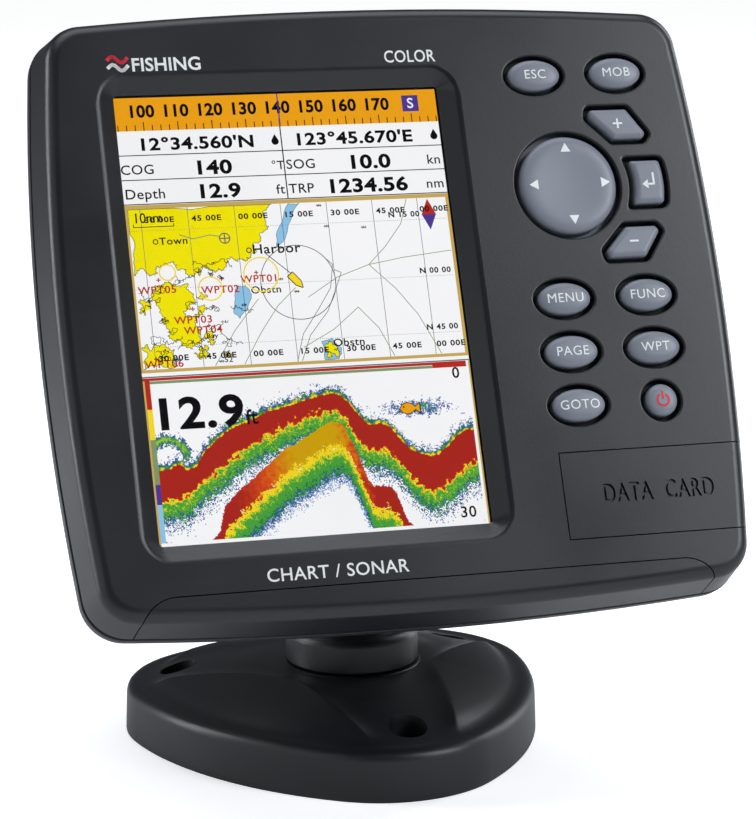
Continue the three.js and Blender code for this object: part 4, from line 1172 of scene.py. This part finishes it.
for x, y, r in ((24.4, 76.6, 1.3), (41.9, 64.4, 9.6)):
    grey.line(ellipse(x, y, r, r, 60), 0.2 if r > 2 else 0.28, closed=True)
grey.line([(24.4, 75.4), (24.4, 77.8)], 0.3)
grey.line([(23.2, 76.6), (25.6, 76.6)], 0.3)
ink.line([(34.4, 72.1), (40.3, 66.7)], 0.2)
grey.line([(39.4, 44.2), (41.6, 51.0), (46.4, 57.4), (50.0, 62.6), (51.2, 68.6), (49.8, 70.0)], 0.16)
grey.line([(40.6, 44.2), (43.4, 50.6), (48.6, 56.6), (51.2, 62.0), (53.2, 66.4), (51.4, 67.2)], 0.16)
for points in ([(82.6, 70.9), (70.0, 69.6), (60.6, 68.1), (52.0, 65.2), (44.0, 60.4)],
               [(60.6, 68.1), (65.4, 72.6), (70.2, 78.4), (72.4, 84.8)],
               [(60.6, 68.1), (66.8, 61.6), (71.8, 54.6), (76.6, 44.2)],
               [(41.4, 47.6), (49.6, 51.8), (56.5, 57.2), (61.2, 51.6), (64.4, 44.2)],
               [(26.0, 44.2), (31.0, 52.0), (36.0, 58.6), (41.0, 63.0)],
               [(18.6, 44.2), (24.4, 52.8), (31.2, 60.6)]):
    track.line(points, 0.18)
track.line([(13.0, 78.0), (16.4, 76.8), (20.6, 77.6), (23.0, 77.2)], 0.25)
for x, y, r in ((19.4, 63.8, 3.0), (32.6, 66.8, 4.4), (9.0, 68.4, 2.0)):
    page.line(ellipse(x, y, r, r, 40), 0.35, closed=True)
for text, x, y in (("WPT01", 27.2, 64.9), ("WPT02", 17.0, 62.6), ("WPT03", 9.4, 55.2), ("WPT04", 11.6, 52.5),
                   ("WPT05", 1.2, 63.2), ("WPT06", 1.0, 44.4)):
    red.words(text, x, y, 1.8, align=0, bold=0.016, spacing=1.08, narrow=1.1)
for x, y in ((22.4, 66.2), (6.6, 66.6), (14.4, 58.8), (31.4, 67.4), (4.0, 46.6), (18.0, 54.4)):
    red.box(x - 0.55, x + 0.55, y - 0.14, y + 0.14)
    red.box(x - 0.14, x + 0.14, y - 0.55, y + 0.55)
needle_x, needle_y = 77.9, 80.6
red.shape([(needle_x - 1.9, needle_y), (needle_x + 1.9, needle_y), (needle_x, needle_y + 4.1)])
sheets["violet"].shape([(needle_x - 1.9, needle_y), (needle_x, needle_y - 4.1), (needle_x + 1.9, needle_y)])
boat = [Matrix.Rotation(math.radians(-50), 2) @ Vector(p) for p in [(-2.0, -0.8), (0.9, -0.8), (2.4, 0),
                                                                    (0.9, 0.8), (-2.0, 0.8)]]
boat = [(41.3 + p.x, 64.9 + p.y) for p in boat]
page.shape(boat)
ink.line(boat, 0.45, closed=True)
print("chart finished with", len(ink.faces), "ink faces")

# %% The frame and the readings of the sonar page
grey.box(0, 83.6, 42.0, 42.3)
red.box(0, 73.8, 41.2, 41.9)
sheets["track"].box(0, 73.8, 40.4, 41.1)
red.box(73.8, 82.6, 40.4, 41.9)
for tone, y0, y1 in ((red, 34.0, 41.9), (page, 26.5, 34.0), (track, 15.3, 26.5),
                     (sheets["violet"], 10.3, 15.3), (sea, 0.9, 10.3)):
    tone.box(0.5, FIELD["left"], y0, y1)
for x0, x1 in ((0, 0.5), (83.2, 83.6)):
    amber.box(x0, x1, 0, 42.1)
ink.words("12.9", 13.9, 29.0, 7.4, bold=0.03, spacing=1.08, narrow=1.16)
ink.words("ft", 26.2, 29.0, 3.6, bold=0.012)
ink.words("0", 79.6, 37.6, 2.7, bold=0.014)
ink.words("30", 78.4, 2.0, 2.7, bold=0.014, spacing=1.1)
ink.box(79.6, 80.7, 28.3, 28.5)
fish = [(63.9, 30.5), (64.6, 31.5), (65.8, 32.0), (67.1, 31.7), (68.0, 30.9), (69.2, 31.9), (69.2, 29.1),
        (68.0, 30.1),
        (67.0, 29.3), (65.8, 29.0), (64.6, 29.5)]
strip.shape(fish)
ink.line(fish, 0.2, closed=True)
ink.shape(ellipse(65.0, 30.9, 0.22, 0.22, 10))
print("sonar page labelled")

# %% Lay the sheets
SHEET_COLOURS = {"white": WHITE, "sea": shown(140, 196, 232), "land": shown(246, 232, 12),
                 "strip": shown(240, 162, 28),
                 "grey": shown(96, 96, 100), "track": shown(128, 150, 104), "amber": shown(200, 168, 92),
                 "red": shown(184, 48, 38), "ink": shown(20, 18, 22), "violet": shown(78, 58, 146),
                 "page": shown(250, 220, 40), "bright": shown(240, 238, 246)}
sheets["white"], sheets["field"] = Ink(), Ink()
sheets["white"].box(0, PICTURE["w"], 0, PICTURE["h"])
sheets["field"].box(FIELD["left"], FIELD["right"], FIELD["bottom"], FIELD["top"])
for k, name in enumerate(DISPLAY_SHEETS):
    level = SHEET_BASE + SHEET_STEP * k
    def on_display(x, y, level=level):
        return head(PICTURE_LEFT + x, PICTURE_BOTTOM + y, level), OUT
    sheet = sheets[name].piece("display_" + name, on_display, SHEET_T)
    surface = sonar if name == "field" else glowing("Backlit " + name, SHEET_COLOURS[name])
    fit(sheet, "head", "display_glass", surface)
print("display picture in", len(DISPLAY_SHEETS), "sheets, up to n",
      round(SHEET_BASE + SHEET_STEP * len(DISPLAY_SHEETS), 2))


# %% [markdown]
# The rear case closes the head from behind. Its rim stands a little proud of the bezel across a dark
# groove, it tapers to a flat back, and the back carries the sockets and the tilt bracket. The four
# case screws go down deep round holes in its corners.

# %% Rear case
GROOVE = 1.0
BACK = -48.0
RIM_FRONT = PARTING - GROOVE

def rear_skin(name, d=0.0):
    """Stations from the back to the rim: how far back, and how far drawn in."""
    stations = [(BACK, 23.4), (BACK + 0.12, 22.6), (BACK + 0.5, 21.6), (BACK + 1.2, 20.5), (BACK + 2.4, 19.2),
                (BACK + 4, 17.8), (BACK + 7, 15.5), (BACK + 12, 12.0), (BACK + 17, 8.9), (BACK + 21, 6.6),
                (RIM_FRONT - 11, 3.6), (RIM_FRONT - 8.5, 2.1), (RIM_FRONT - 6.5, 1.1), (RIM_FRONT - 5, 0.45),
                (RIM_FRONT - 3.8, 0.1), (RIM_FRONT - 2.6, 0.0), (RIM_FRONT - 0.5, 0.0),
                (RIM_FRONT - 0.13, 0.15),
                (RIM_FRONT, 0.5)]
    sections = []
    for n, inset in stations:
        inside = d > 0
        place = n + d if inside and n < BACK + 10 else n
        outline = barrel(HALF_W + 0.3 - inset - d, HALF_H + 0.3 - inset - d, CORNER + inset * 0.5 - d * 0.6)
        sections.append((place + (1 if inside and n == RIM_FRONT else 0), outline))
    return loft(name, sections)

case = rear_skin("rear_case_moulding")
combine(case, rear_skin("inside", 2.5))
outer = rear_skin("outer")
for k in range(1, 5):
    x, u = centre(f"case_screw_{k}")
    boss = turned("boss", [(0, BACK - 5), (6, BACK - 5), (6, RIM_FRONT), (0, RIM_FRONT)], x=x, y=u, steps=40)
    modifier = boss.modifiers.new("keep inside", "BOOLEAN")
    modifier.operation, modifier.solver, modifier.object = "INTERSECT", "MANIFOLD", outer
    settle(boss)
    combine(case, boss, "UNION")
    combine(case, turned("shaft", [(0, BACK - 5), (1.8, BACK - 5), (1.8, 0), (0, 0)], x=x, y=u, steps=24))
    combine(case, turned("well", [(0, BACK - 5), (4, BACK - 5), (4, -20), (0, -20)], x=x, y=u, steps=40))
bpy.data.objects.remove(outer)
socket_names = ("power", "sounder", "antenna")
for name in socket_names:
    x, u = centre(name + "_socket")
    combine(case, turned("socket hole", [(0, BACK - 2), (9.3, BACK - 2), (9.3, BACK + 6), (0, BACK + 6)],
                         x=x, y=u))
for k in range(1, 5):
    x, u = centre(f"bracket_screw_{k}")
    combine(case, turned("bracket hole", [(0, BACK - 2), (2.2, BACK - 2), (2.2, BACK + 5), (0, BACK + 5)],
                         x=x, y=u, steps=24))
print("rear case:", len(case.data.polygons), "faces")

# %% Moulded details on the back: shallow cooling grooves and a drip edge over the sockets
for k in range(7):
    for side in (-1, 1):
        x = side * (36 + 3.6 * k)
        slot_outline = lambda d, x=x: rounded(rectangle(x - 0.7 - d, x + 0.7 + d, -36 - d, -4 + d),
                                              0.65 + d, 6)
        groove = loft("groove", [(BACK - 1, slot_outline(0.5)), (BACK, slot_outline(0.45)),
                                 (BACK + 0.2, slot_outline(0.12)),
                                 (BACK + 0.5, slot_outline(0)), (BACK + 1.4, slot_outline(0))])
        combine(case, groove)
drip_x, drip_u = 52, 46
drip = loft("drip edge", [(BACK - 1.6, rounded(rectangle(-drip_x + 1, drip_x - 1, drip_u + 0.6,
                                                         drip_u + 1.8), 0.55, 6)),
                          (BACK - 1.2, rounded(rectangle(-drip_x + 0.4, drip_x - 0.4, drip_u + 0.2,
                                                         drip_u + 2.2), 0.9, 6)),
                          (BACK + 1, rounded(rectangle(-drip_x, drip_x, drip_u, drip_u + 2.4), 1.1, 6))])
combine(case, drip, "UNION")
fit(smooth(case), "head", "case_plastic", case_grey, "rear_case")
print("rear case with grooves:", len(case.data.polygons), "faces")

# %% Sealing ring in the groove
ring_outline = lambda inset: barrel(HALF_W - inset, HALF_H - inset, CORNER - inset * 0.7)
seal = loft("case_seal", [(RIM_FRONT + 0.3, ring_outline(1.5)), (RIM_FRONT + 0.4, ring_outline(1.2)),
                          (PARTING - 0.4, ring_outline(1.2)), (PARTING - 0.3, ring_outline(1.5))])
combine(seal, loft("hollow", [(RIM_FRONT - 1, ring_outline(2.5)), (PARTING + 1, ring_outline(2.5))]))
fit(smooth(seal), "head", "black_rubber", rubber_black, "case_gasket")
print("sealing ring made")

# %% [markdown]
# Screws are turned pieces: a shank, a head with a rolled edge, and a crossed recess cut into it. All
# eight use one function, with their own place and size.

# %% Screws
def cross_screw(name, node, shank, head_r, head_h, recess):
    (x0, x1), (u0, u1), (n0, n1) = spans(node)
    x, u = (x0 + x1) / 2, (u0 + u1) / 2
    seat = n0 + head_h
    profile = [(0, n0), (head_r * 0.55, n0 + 0.02), (head_r * 0.8, n0 + head_h * 0.16),
               (head_r * 0.95, n0 + head_h * 0.42),
               (head_r, n0 + head_h * 0.72), (head_r * 0.98, seat), (shank, seat), (shank, n1 - 0.8), (0, n1)]
    screw = turned(name, profile, x=x, y=u, steps=40)
    for across in ((recess, recess * 0.26), (recess * 0.26, recess)):
        a, b = across
        blade = loft("blade", [(n0 - 1, rectangle(x - a, x + a, u - b, u + b)),
                               (n0 + head_h * 0.75,
                                rectangle(x - a * 0.6, x + a * 0.6, u - b * 0.8, u + b * 0.8))])
        combine(screw, blade)
    return fit(smooth(screw), "head", "steel", steel, node)

for k in range(1, 5):
    cross_screw(f"case_screw_{k}_turned", f"case_screw_{k}", 1.45, 3.2, 2.2, 1.7)
    cross_screw(f"bracket_screw_{k}_turned", f"bracket_screw_{k}", 1.85, 3.5, 2.4, 1.9)
print("screws made")

# %% Sockets: a keyed cup with a plain collar, and the pins in it
for name, pins in zip(socket_names, (3, 5, 6)):
    x, u = centre(name + "_socket")
    low = spans(name + "_socket")[2][0]
    floor = low + 13.0
    cup = turned(name + "_socket_turned", [
        (0, floor + 2), (9.0, floor + 2), (9.0, BACK - 0.3), (10.5, BACK - 0.3), (10.5, low + 0.6),
        (10.35, low + 0.2),
        (10.0, low), (8.5, low), (8.15, low + 0.15), (8.0, low + 0.5), (8.0, floor), (0, floor)], x=x, y=u,
        steps=72)
    key = loft("key", [(low + 1.5, rectangle(x - 0.9, x + 0.9, u + 7.2, u + 8.5)),
                       (floor + 1, rectangle(x - 0.9, x + 0.9, u + 7.2, u + 8.5))])
    combine(cup, key, "UNION")
    fit(smooth(cup), "head", "black_plastic", fitting_black, name + "_socket")
    insert = turned(name + "_contacts", [(0, floor - 2.3), (7.3, floor - 2.3), (7.6, floor - 2.0),
                                         (7.7, floor - 0.3),
                                         (0, floor - 0.3)], x=x, y=u, steps=64)
    for k in range(pins):
        a = 2 * math.pi * k / pins
        px, pu = x + 4 * math.cos(a), u + 4 * math.sin(a)
        pin = turned("pin", [(0, low + 7.5), (0.45, low + 7.6), (0.7, low + 8.2), (0.7, floor - 1),
                             (0, floor - 1)],
                     x=px, y=pu, steps=20)
        combine(insert, pin, "UNION")
    fit(smooth(insert), "head", "brass", brass, name + "_pins")
print("sockets made")

# %% [markdown]
# The tilt bracket is a plate on the back of the case with two round ears. The stem's tongue stands
# between the ears, and a bolt through all three carries a lobed knob. Plates are lofts with drawn-in
# first and last sections, which gives them a small radius all round.

# %% Tilt bracket
PLATE = {"half_w": 26, "bottom": -57, "top": -8, "front": BACK - 0.3, "t": 4.4}
EAR = {"inner": 9.1, "t": 5.0, "r": 12.0}
BOLT_HOLE = 3.3

def softened(name, outline, low, high, edge, place=head):
    lower = [(low + edge * (1 - math.sin(a)), outline(-edge * (1 - math.cos(a)))) for a in
             [math.pi / 2 * (1 - k / 4) for k in range(5)]]
    upper = [(high - edge * (1 - math.sin(a)), outline(-edge * (1 - math.cos(a)))) for a in
             [math.pi / 2 * k / 4 for k in range(5)]]
    return loft(name, lower + upper, place)

def plate_outline(d):
    w = PLATE["half_w"] + d
    return rounded(rectangle(-w, w, PLATE["bottom"] - d, PLATE["top"] + d), 5 + d, 8)

plate_low = PLATE["front"] - PLATE["t"]
bracket = softened("tilt_bracket", plate_outline, plate_low, PLATE["front"], 0.8)
pivot_n = in_head(pivot)[2]

def ear_outline(d):
    """Side view of an ear in the bolt's frame (y, z): round at the bolt, straight to the plate."""
    r = EAR["r"] + d
    towards_plate = Vector((OUT.y, OUT.z)).normalized()
    angle = math.atan2(towards_plate.y, towards_plate.x)
    round_end = arc(0, 0, r, angle + math.pi / 2, angle + 3 * math.pi / 2, 28)
    reach = plate_low - pivot_n + 1.5
    a, b = round_end[-1], round_end[0]
    shift = towards_plate * reach
    return round_end + [(a[0] + shift.x, a[1] + shift.y), (b[0] + shift.x, b[1] + shift.y)]

for side in (-1, 1):
    x0, x1 = sorted((side * EAR["inner"], side * (EAR["inner"] + EAR["t"])))
    combine(bracket, softened("ear", ear_outline, x0, x1, 0.8, along_bolt), "UNION")
combine(bracket, turned("bolt hole", [(0, -20), (BOLT_HOLE, -20), (BOLT_HOLE, 20), (0, 20)], along_bolt,
                        steps=32))
for k in range(1, 5):
    x, u = centre(f"bracket_screw_{k}")
    combine(bracket, turned("hole", [(0, plate_low - 2), (2.2, plate_low - 2), (2.2, BACK + 1),
                                     (0, BACK + 1)], x=x, y=u, steps=24))
for k in (-1, 0, 1):
    x = k * 5.5
    groove = loft("relief", [(plate_low - 1, rounded(rectangle(x - 1.6, x + 1.6, -19, -13), 1.2, 5)),
                             (plate_low + 0.8, rounded(rectangle(x - 1.3, x + 1.3, -18.7, -13.3), 1.0, 5))])
    combine(bracket, groove)
fit(smooth(bracket), "head", "base_plastic", base_black, "rear_bracket")
print("bracket:", len(bracket.data.polygons), "faces; bolt at", [round(v, 4) for v in pivot])

# %% Knob, bolt and nut
KNOB = {"r": 13.0, "h": 12.0, "lobes": 7}

def lobed(radius, depth=1.4):
    count = KNOB["lobes"] * 16
    points = []
    for i in range(count):
        a = 2 * math.pi * i / count
        r = radius - depth * (0.5 - 0.5 * math.cos(KNOB["lobes"] * a)) ** 2
        points.append((r * math.cos(a), r * math.sin(a)))
    return points

knob_x = EAR["inner"] + EAR["t"] + 0.3
knob_sections = [(0, 8.6, 0.1), (0.1, 9.0, 0.1), (0.9, 10.6, 0.6), (1.6, 12.2, 1.2), (2.4, 12.8, 1.4),
                 (3.2, 13.0, 1.4),
                 (9.6, 13.0, 1.4), (10.6, 12.7, 1.3), (11.3, 12.1, 1.2), (11.8, 11.2, 1.0),
                 (12.0, 10.2, 0.8), (11.9, 8.8, 0.4),
                 (11.2, 8.2, 0.2), (11.1, 7.4, 0.0)]
knob = loft("tilt_knob_moulding", [(knob_x + n, lobed(r, depth)) for n, r, depth in knob_sections],
            along_bolt)
combine(knob, turned("bolt hole", [(0, knob_x - 1), (3.3, knob_x - 1), (3.3, knob_x + 9), (0, knob_x + 9)],
                     along_bolt, steps=32))
fit(smooth(knob), "knob", "black_plastic", fitting_black, "tilt_knob")
nut_x = -knob_x
bolt = turned("tilt_bolt_turned", [(0, nut_x - 5.5), (2.4, nut_x - 5.5), (3.0, nut_x - 4.9),
                                   (3.0, knob_x + 8.2), (0, knob_x + 8.7)],
              along_bolt, steps=40)
fit(smooth(bolt), "knob", "steel", steel, "tilt_bolt")
hexagon = lambda d: ellipse(0, 0, 5.8 + d, 5.8 + d, 6)
nut = loft("tilt_nut_pressed", [(nut_x - 5, hexagon(-0.6)), (nut_x - 4.6, hexagon(0)),
                                (nut_x - 0.4, hexagon(0)), (nut_x, hexagon(-0.6))], along_bolt)
combine(nut, turned("bore", [(0, nut_x - 6), (3.3, nut_x - 6), (3.3, nut_x + 1), (0, nut_x + 1)],
                    along_bolt, steps=32))
fit(smooth(nut), "head", "steel", steel, "tilt_nut")
print("knob:", len(knob.data.polygons), "faces")

# %% [markdown]
# The stem turns in the base and carries the head. A turned collar covers the joint, a slimmer neck
# rises from it, and a flat tongue with a round eye takes the tilt bolt.

# %% Swivel stem
TONGUE = 7.0
stem_low, stem_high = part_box("swivel_stem")
collar = [(0, 10.3), (10, 10.3), (10, 21.2), (17.2, 21.2), (17.7, 21.35), (18, 21.8), (18, 28.2),
          (17.9, 28.9), (17.6, 29.6),
          (17.1, 30.2), (16.4, 30.7), (15.4, 31.0), (13.6, 31.15), (12.7, 31.5), (12.2, 32.3), (12, 33.5),
          (12, 45.4),
          (11.6, 46.4), (10.8, 47), (0, 47)]
stem = turned("swivel_stem_turned", collar, along_z, steps=96)

def tongue_outline(d):
    r = EAR["r"] + d
    foot = 45 - pivot.z / MM
    return arc(0, 0, r, 0, math.pi, 28) + [(-11.5 - d, 0), (-11.5 - d, foot), (11.5 + d, foot), (11.5 + d, 0)]

combine(stem, softened("tongue", tongue_outline, -TONGUE, TONGUE, 0.8, along_bolt), "UNION")
combine(stem, turned("eye", [(0, -10), (BOLT_HOLE, -10), (BOLT_HOLE, 10), (0, 10)], along_bolt, steps=32))
combine(stem, turned("thread hole", [(0, 0), (4.3, 0), (4.3, 39), (0, 39)], along_z, steps=32))
fit(smooth(stem), "turret", "base_plastic", base_black, "swivel_stem")
print("stem:", [round(v * 1000, 1) for v in stem.dimensions])

# %% [markdown]
# The base has a rounded three-cornered outline. Its top is a low dome in three petals that rise from
# the rim to the collar. Between each pair of petals the dome is hollowed round a screw hole, and a
# ridge runs down both sides of the hollow. The top is made as a height over a polar grid: one formula
# for the dome and one for the hollow, which meet in a crisp edge.

# %% Base: outline and height
BASE = {"corner_at": 26.1, "corner_r": 34.5, "mid": 52.2, "wall": 12.6, "floor": 13.6, "dome": 20.9,
        "hollow": 0.9, "ridge": 1.25}
recesses = [box for box in record["physics"]["openings"] if box["name"].startswith("base_screw")]
holes = {}
for box in recesses:
    low, high = [Vector(corner) for corner in box["box_m"]]
    holes[box["name"].rsplit("_", 1)[1]] = (low + high) / 2 / MM
base_middle = sum(holes.values(), Vector()) / len(holes)
front_arm = holes["front"] - base_middle
lobe_angle = math.atan2(front_arm.y, front_arm.x)
THIRD = 2 * math.pi / 3

def base_outline(inset, steps=36):
    at, r, mid = BASE["corner_at"], BASE["corner_r"], BASE["mid"]
    near = at / 2 - mid
    side_r = (r ** 2 - 0.75 * at ** 2 - near ** 2) / (2 * (near + r))
    spread = math.atan2(at * math.sin(math.pi / 3), at / 2 + side_r - mid)
    turn = math.pi / 3 - spread
    points = []
    for k in range(3):
        corner = lobe_angle + k * THIRD
        side = corner + math.pi / 3
        points += arc(at * math.cos(corner), at * math.sin(corner), r - inset, corner - turn, corner + turn,
                      2 * steps, True)
        points += arc((mid - side_r) * math.cos(side), (mid - side_r) * math.sin(side), side_r - inset,
                      side - spread, side + spread, steps, True)
    return [(base_middle.x + x, base_middle.y + y) for x, y in points]

def eased(value, low, high):
    t = min(1.0, max(0.0, (value - low) / (high - low)))
    return t * t * (3 - 2 * t)

def base_height(x, y, share):
    """Height of the top where the outline is scaled by share: a dome, hollowed round each screw."""
    dx, dy = x - base_middle.x, y - base_middle.y
    off = math.atan2(dy, dx) - lobe_angle
    off -= THIRD * round(off / THIRD)
    sideways = math.hypot(dx, dy) * math.sin(abs(off))
    dome_z = BASE["floor"] + (BASE["dome"] - BASE["floor"]) * (1 - min(1.0, share / 0.95) ** 3.6)
    strength = eased(share, 0.4, 0.6) * (1 - eased(share, 0.86, 0.97))
    edge = 22 - 10 * min(1.0, max(0.0, (share - 0.35) / 0.6))
    if sideways > edge:
        return dome_z + strength * BASE["ridge"] * math.exp((edge - sideways) / 14)
    return dome_z + strength * ((BASE["hollow"] + BASE["ridge"]) * (sideways / edge) ** 4 - BASE["hollow"])

print("base lobes at", [round(math.degrees(lobe_angle + k * THIRD), 1) for k in range(3)])

# %% Base: the moulding
top = base_outline(3.4)
sections = [[(x, y, z) for x, y in base_outline(inset)] for inset, z in
            ((0.4, 0.0), (0.1, 0.3), (0.0, 0.8), (0.35, 10.6), (0.5, 11.6), (0.85, 12.4), (1.5, 13.05),
             (2.4, 13.45))]
shares = [1.0, 0.985, 0.96, 0.93] + [0.93 - 0.0125 * k for k in range(1, 52)] + [0.28, 0.26]
for share in shares:
    ring = [(base_middle.x + (x - base_middle.x) * share,
             base_middle.y + (y - base_middle.y) * share) for x, y in top]
    sections.append([(x, y, base_height(x, y, share)) for x, y in ring])
count = len(top)
points = [Vector(p) * MM for ring in sections for p in ring]
faces = [(k * count + i, k * count + (i + 1) % count, (k + 1) * count + (i + 1) % count, (k + 1) * count + i)
         for k in range(len(sections) - 1) for i in range(count)]
faces.append(tuple(reversed(range(count))))
faces.append(tuple((len(sections) - 1) * count + i for i in range(count)))
base = new_piece("base_moulding", points, faces)
combine(base, turned("swivel bore", [(0, -1), (10.3, -1), (10.3, 30), (0, 30)], along_z))
combine(base, turned("pocket", [(0, -1), (24, -1), (24, 10), (0, 10)], along_z, steps=96))
hub = turned("hub", [(10.6, 16), (18.8, 16), (18.8, 20.3), (18.6, 20.7), (18.2, 20.9), (10.6, 20.9)],
             along_z, steps=96)
combine(hub, turned("bore", [(0, 0), (10.3, 0), (10.3, 30), (0, 30)], along_z, steps=96))
combine(base, hub, "UNION")
combine(base, loft("pad seat", [(-1, base_outline(2.7)), (1.8, base_outline(2.7))], along_z))
for place in holes.values():
    bore = [(0, -1), (2.5, -1), (2.5, 5), (5.2, 5), (5.2, 25), (0, 25)]
    combine(base, turned("screw recess", bore, along_z, place.x, place.y, 56))
fit(smooth(base, 40), "base", "base_plastic", base_black, "mounting_base")
pad_piece = loft("base_pad_cut", [(0, base_outline(3.2)), (0.2, base_outline(3.0)),
                                  (1.5, base_outline(3.0))], along_z)
for place in holes.values():
    combine(pad_piece, turned("hole", [(0, -1), (2.6, -1), (2.6, 3), (0, 3)], along_z, place.x, place.y, 40))
fit(smooth(pad_piece), "base", "black_rubber", rubber_black, "base_pad")
print("base:", len(base.data.polygons), "faces,", [round(v * 1000, 1) for v in base.dimensions])

# %% [markdown]
# Nodes that stay as the CAD made them, mostly inside the housing, get a real finish by their slot.

# %% Finishes for the CAD nodes that stay
finishes = {"bezel_plastic": charcoal, "case_plastic": case_grey, "base_plastic": base_black,
            "black_rubber": rubber_black,
            "key_plastic": key_grey, "clear_window": clear_window, "display_glass": fitting_black,
            "circuit_board": board_green, "black_plastic": fitting_black, "steel": steel, "brass": brass}
slot_of = {part["node"]: part["material_slot"] for part in record["subparts"]}
for name, node in frame["nodes"].items():
    node.data.materials.clear()
    node.data.materials.append(finishes[slot_of[name]])
print("finished", len(frame["nodes"]), "CAD nodes in", len(finishes), "slots")

# %% [markdown]
# The stage is a wide pale floor under soft studio light. One large softbox stands to the right of
# the camera and lifts the keypad side of the face, a weaker one fills from the left, and two strips
# behind draw light lines along the edges. Dark plastic shows shape only through such reflections.

# %% Floor and light
floor_material = bpy.data.materials.new("Pale floor")
floor_material.use_nodes = True
tree = floor_material.node_tree
shader = tree.nodes["Principled BSDF"]
cloudy = between(tree, cloud(tree, 0.0008, 2.0), 0.3, 0.7)
feed(tree, shader.inputs["Base Color"], blend(tree, cloudy, (0.86, 0.86, 0.87, 1), (0.9, 0.9, 0.9, 1)))
feed(tree, shader.inputs["Roughness"], between(tree, cloudy, 0, 1, 0.7, 0.8))
away = put(tree, "VectorMath", operation="LENGTH")
feed(tree, away.inputs[0], put(tree, "TexCoord").outputs["Object"])
distant = between(tree, away.outputs["Value"], 0.12, 0.7, 0.5, 0.85)
feed(tree, shader.inputs["Emission Strength"],
     calc(tree, "MULTIPLY", distant, put(tree, "LightPath").outputs["Is Camera Ray"]))
shader.inputs["Emission Color"].default_value = (1, 1, 1, 1)
floor = new_piece("floor", [(-6, -6, 0), (6, -6, 0), (6, 6, 0), (-6, 6, 0)], [(0, 1, 2, 3)])
floor.data.materials.append(floor_material)

def softbox(name, place, aim, width, height, power, tint=(1, 1, 1)):
    light = bpy.data.lights.new(name, "AREA")
    light.shape = "RECTANGLE"
    light.size, light.size_y, light.energy, light.color = width, height, power, tint
    lamp = bpy.data.objects.new(name, light)
    lamp.location = place
    lamp.rotation_euler = (Vector(aim) - Vector(place)).to_track_quat("-Z", "Y").to_euler()
    bpy.context.scene.collection.objects.link(lamp)
    return lamp

target = (0, -0.03, 0.11)
COOL = (0.92, 0.96, 1.0)
softbox("key softbox", (0.99, -0.94, 0.88), target, 0.5, 0.9, 15.5, COOL)
softbox("fill softbox", (-1.1, -0.6, 0.5), target, 0.5, 0.9, 1.5, COOL)
softbox("top softbox", (0.0, 0.1, 1.5), target, 1.4, 1.0, 12, COOL)
softbox("left edge strip", (-0.9, 0.3, 0.3), target, 0.2, 0.9, 6, COOL)
softbox("right edge strip", (0.85, 0.35, 0.4), target, 0.2, 0.9, 3.5, COOL)
world = bpy.context.scene.world or bpy.data.worlds.new("Studio")
bpy.context.scene.world = world
world.use_nodes = True
world.node_tree.nodes["Background"].inputs["Color"].default_value = (0.93, 0.95, 1.0, 1)
world.node_tree.nodes["Background"].inputs["Strength"].default_value = 0.1

# %% Camera
CAMERA = {"place": (-0.19725, -0.71865, 0.2533), "pitch": 77.65, "heading": -15.9, "lens": 125, "sensor": 36}
camera = bpy.data.objects.new("camera", bpy.data.cameras.new("camera"))
camera.location = CAMERA["place"]
camera.rotation_euler = Euler((math.radians(CAMERA["pitch"]), 0, math.radians(CAMERA["heading"])))
camera.data.lens = CAMERA["lens"]
camera.data.sensor_width = CAMERA["sensor"]
camera.data.clip_start = 0.01
bpy.context.scene.collection.objects.link(camera)
bpy.context.scene.camera = camera
view = bpy.context.scene.view_settings
view.view_transform = "Standard"
view.look = "None"
print("camera at", [round(v, 3) for v in camera.location])
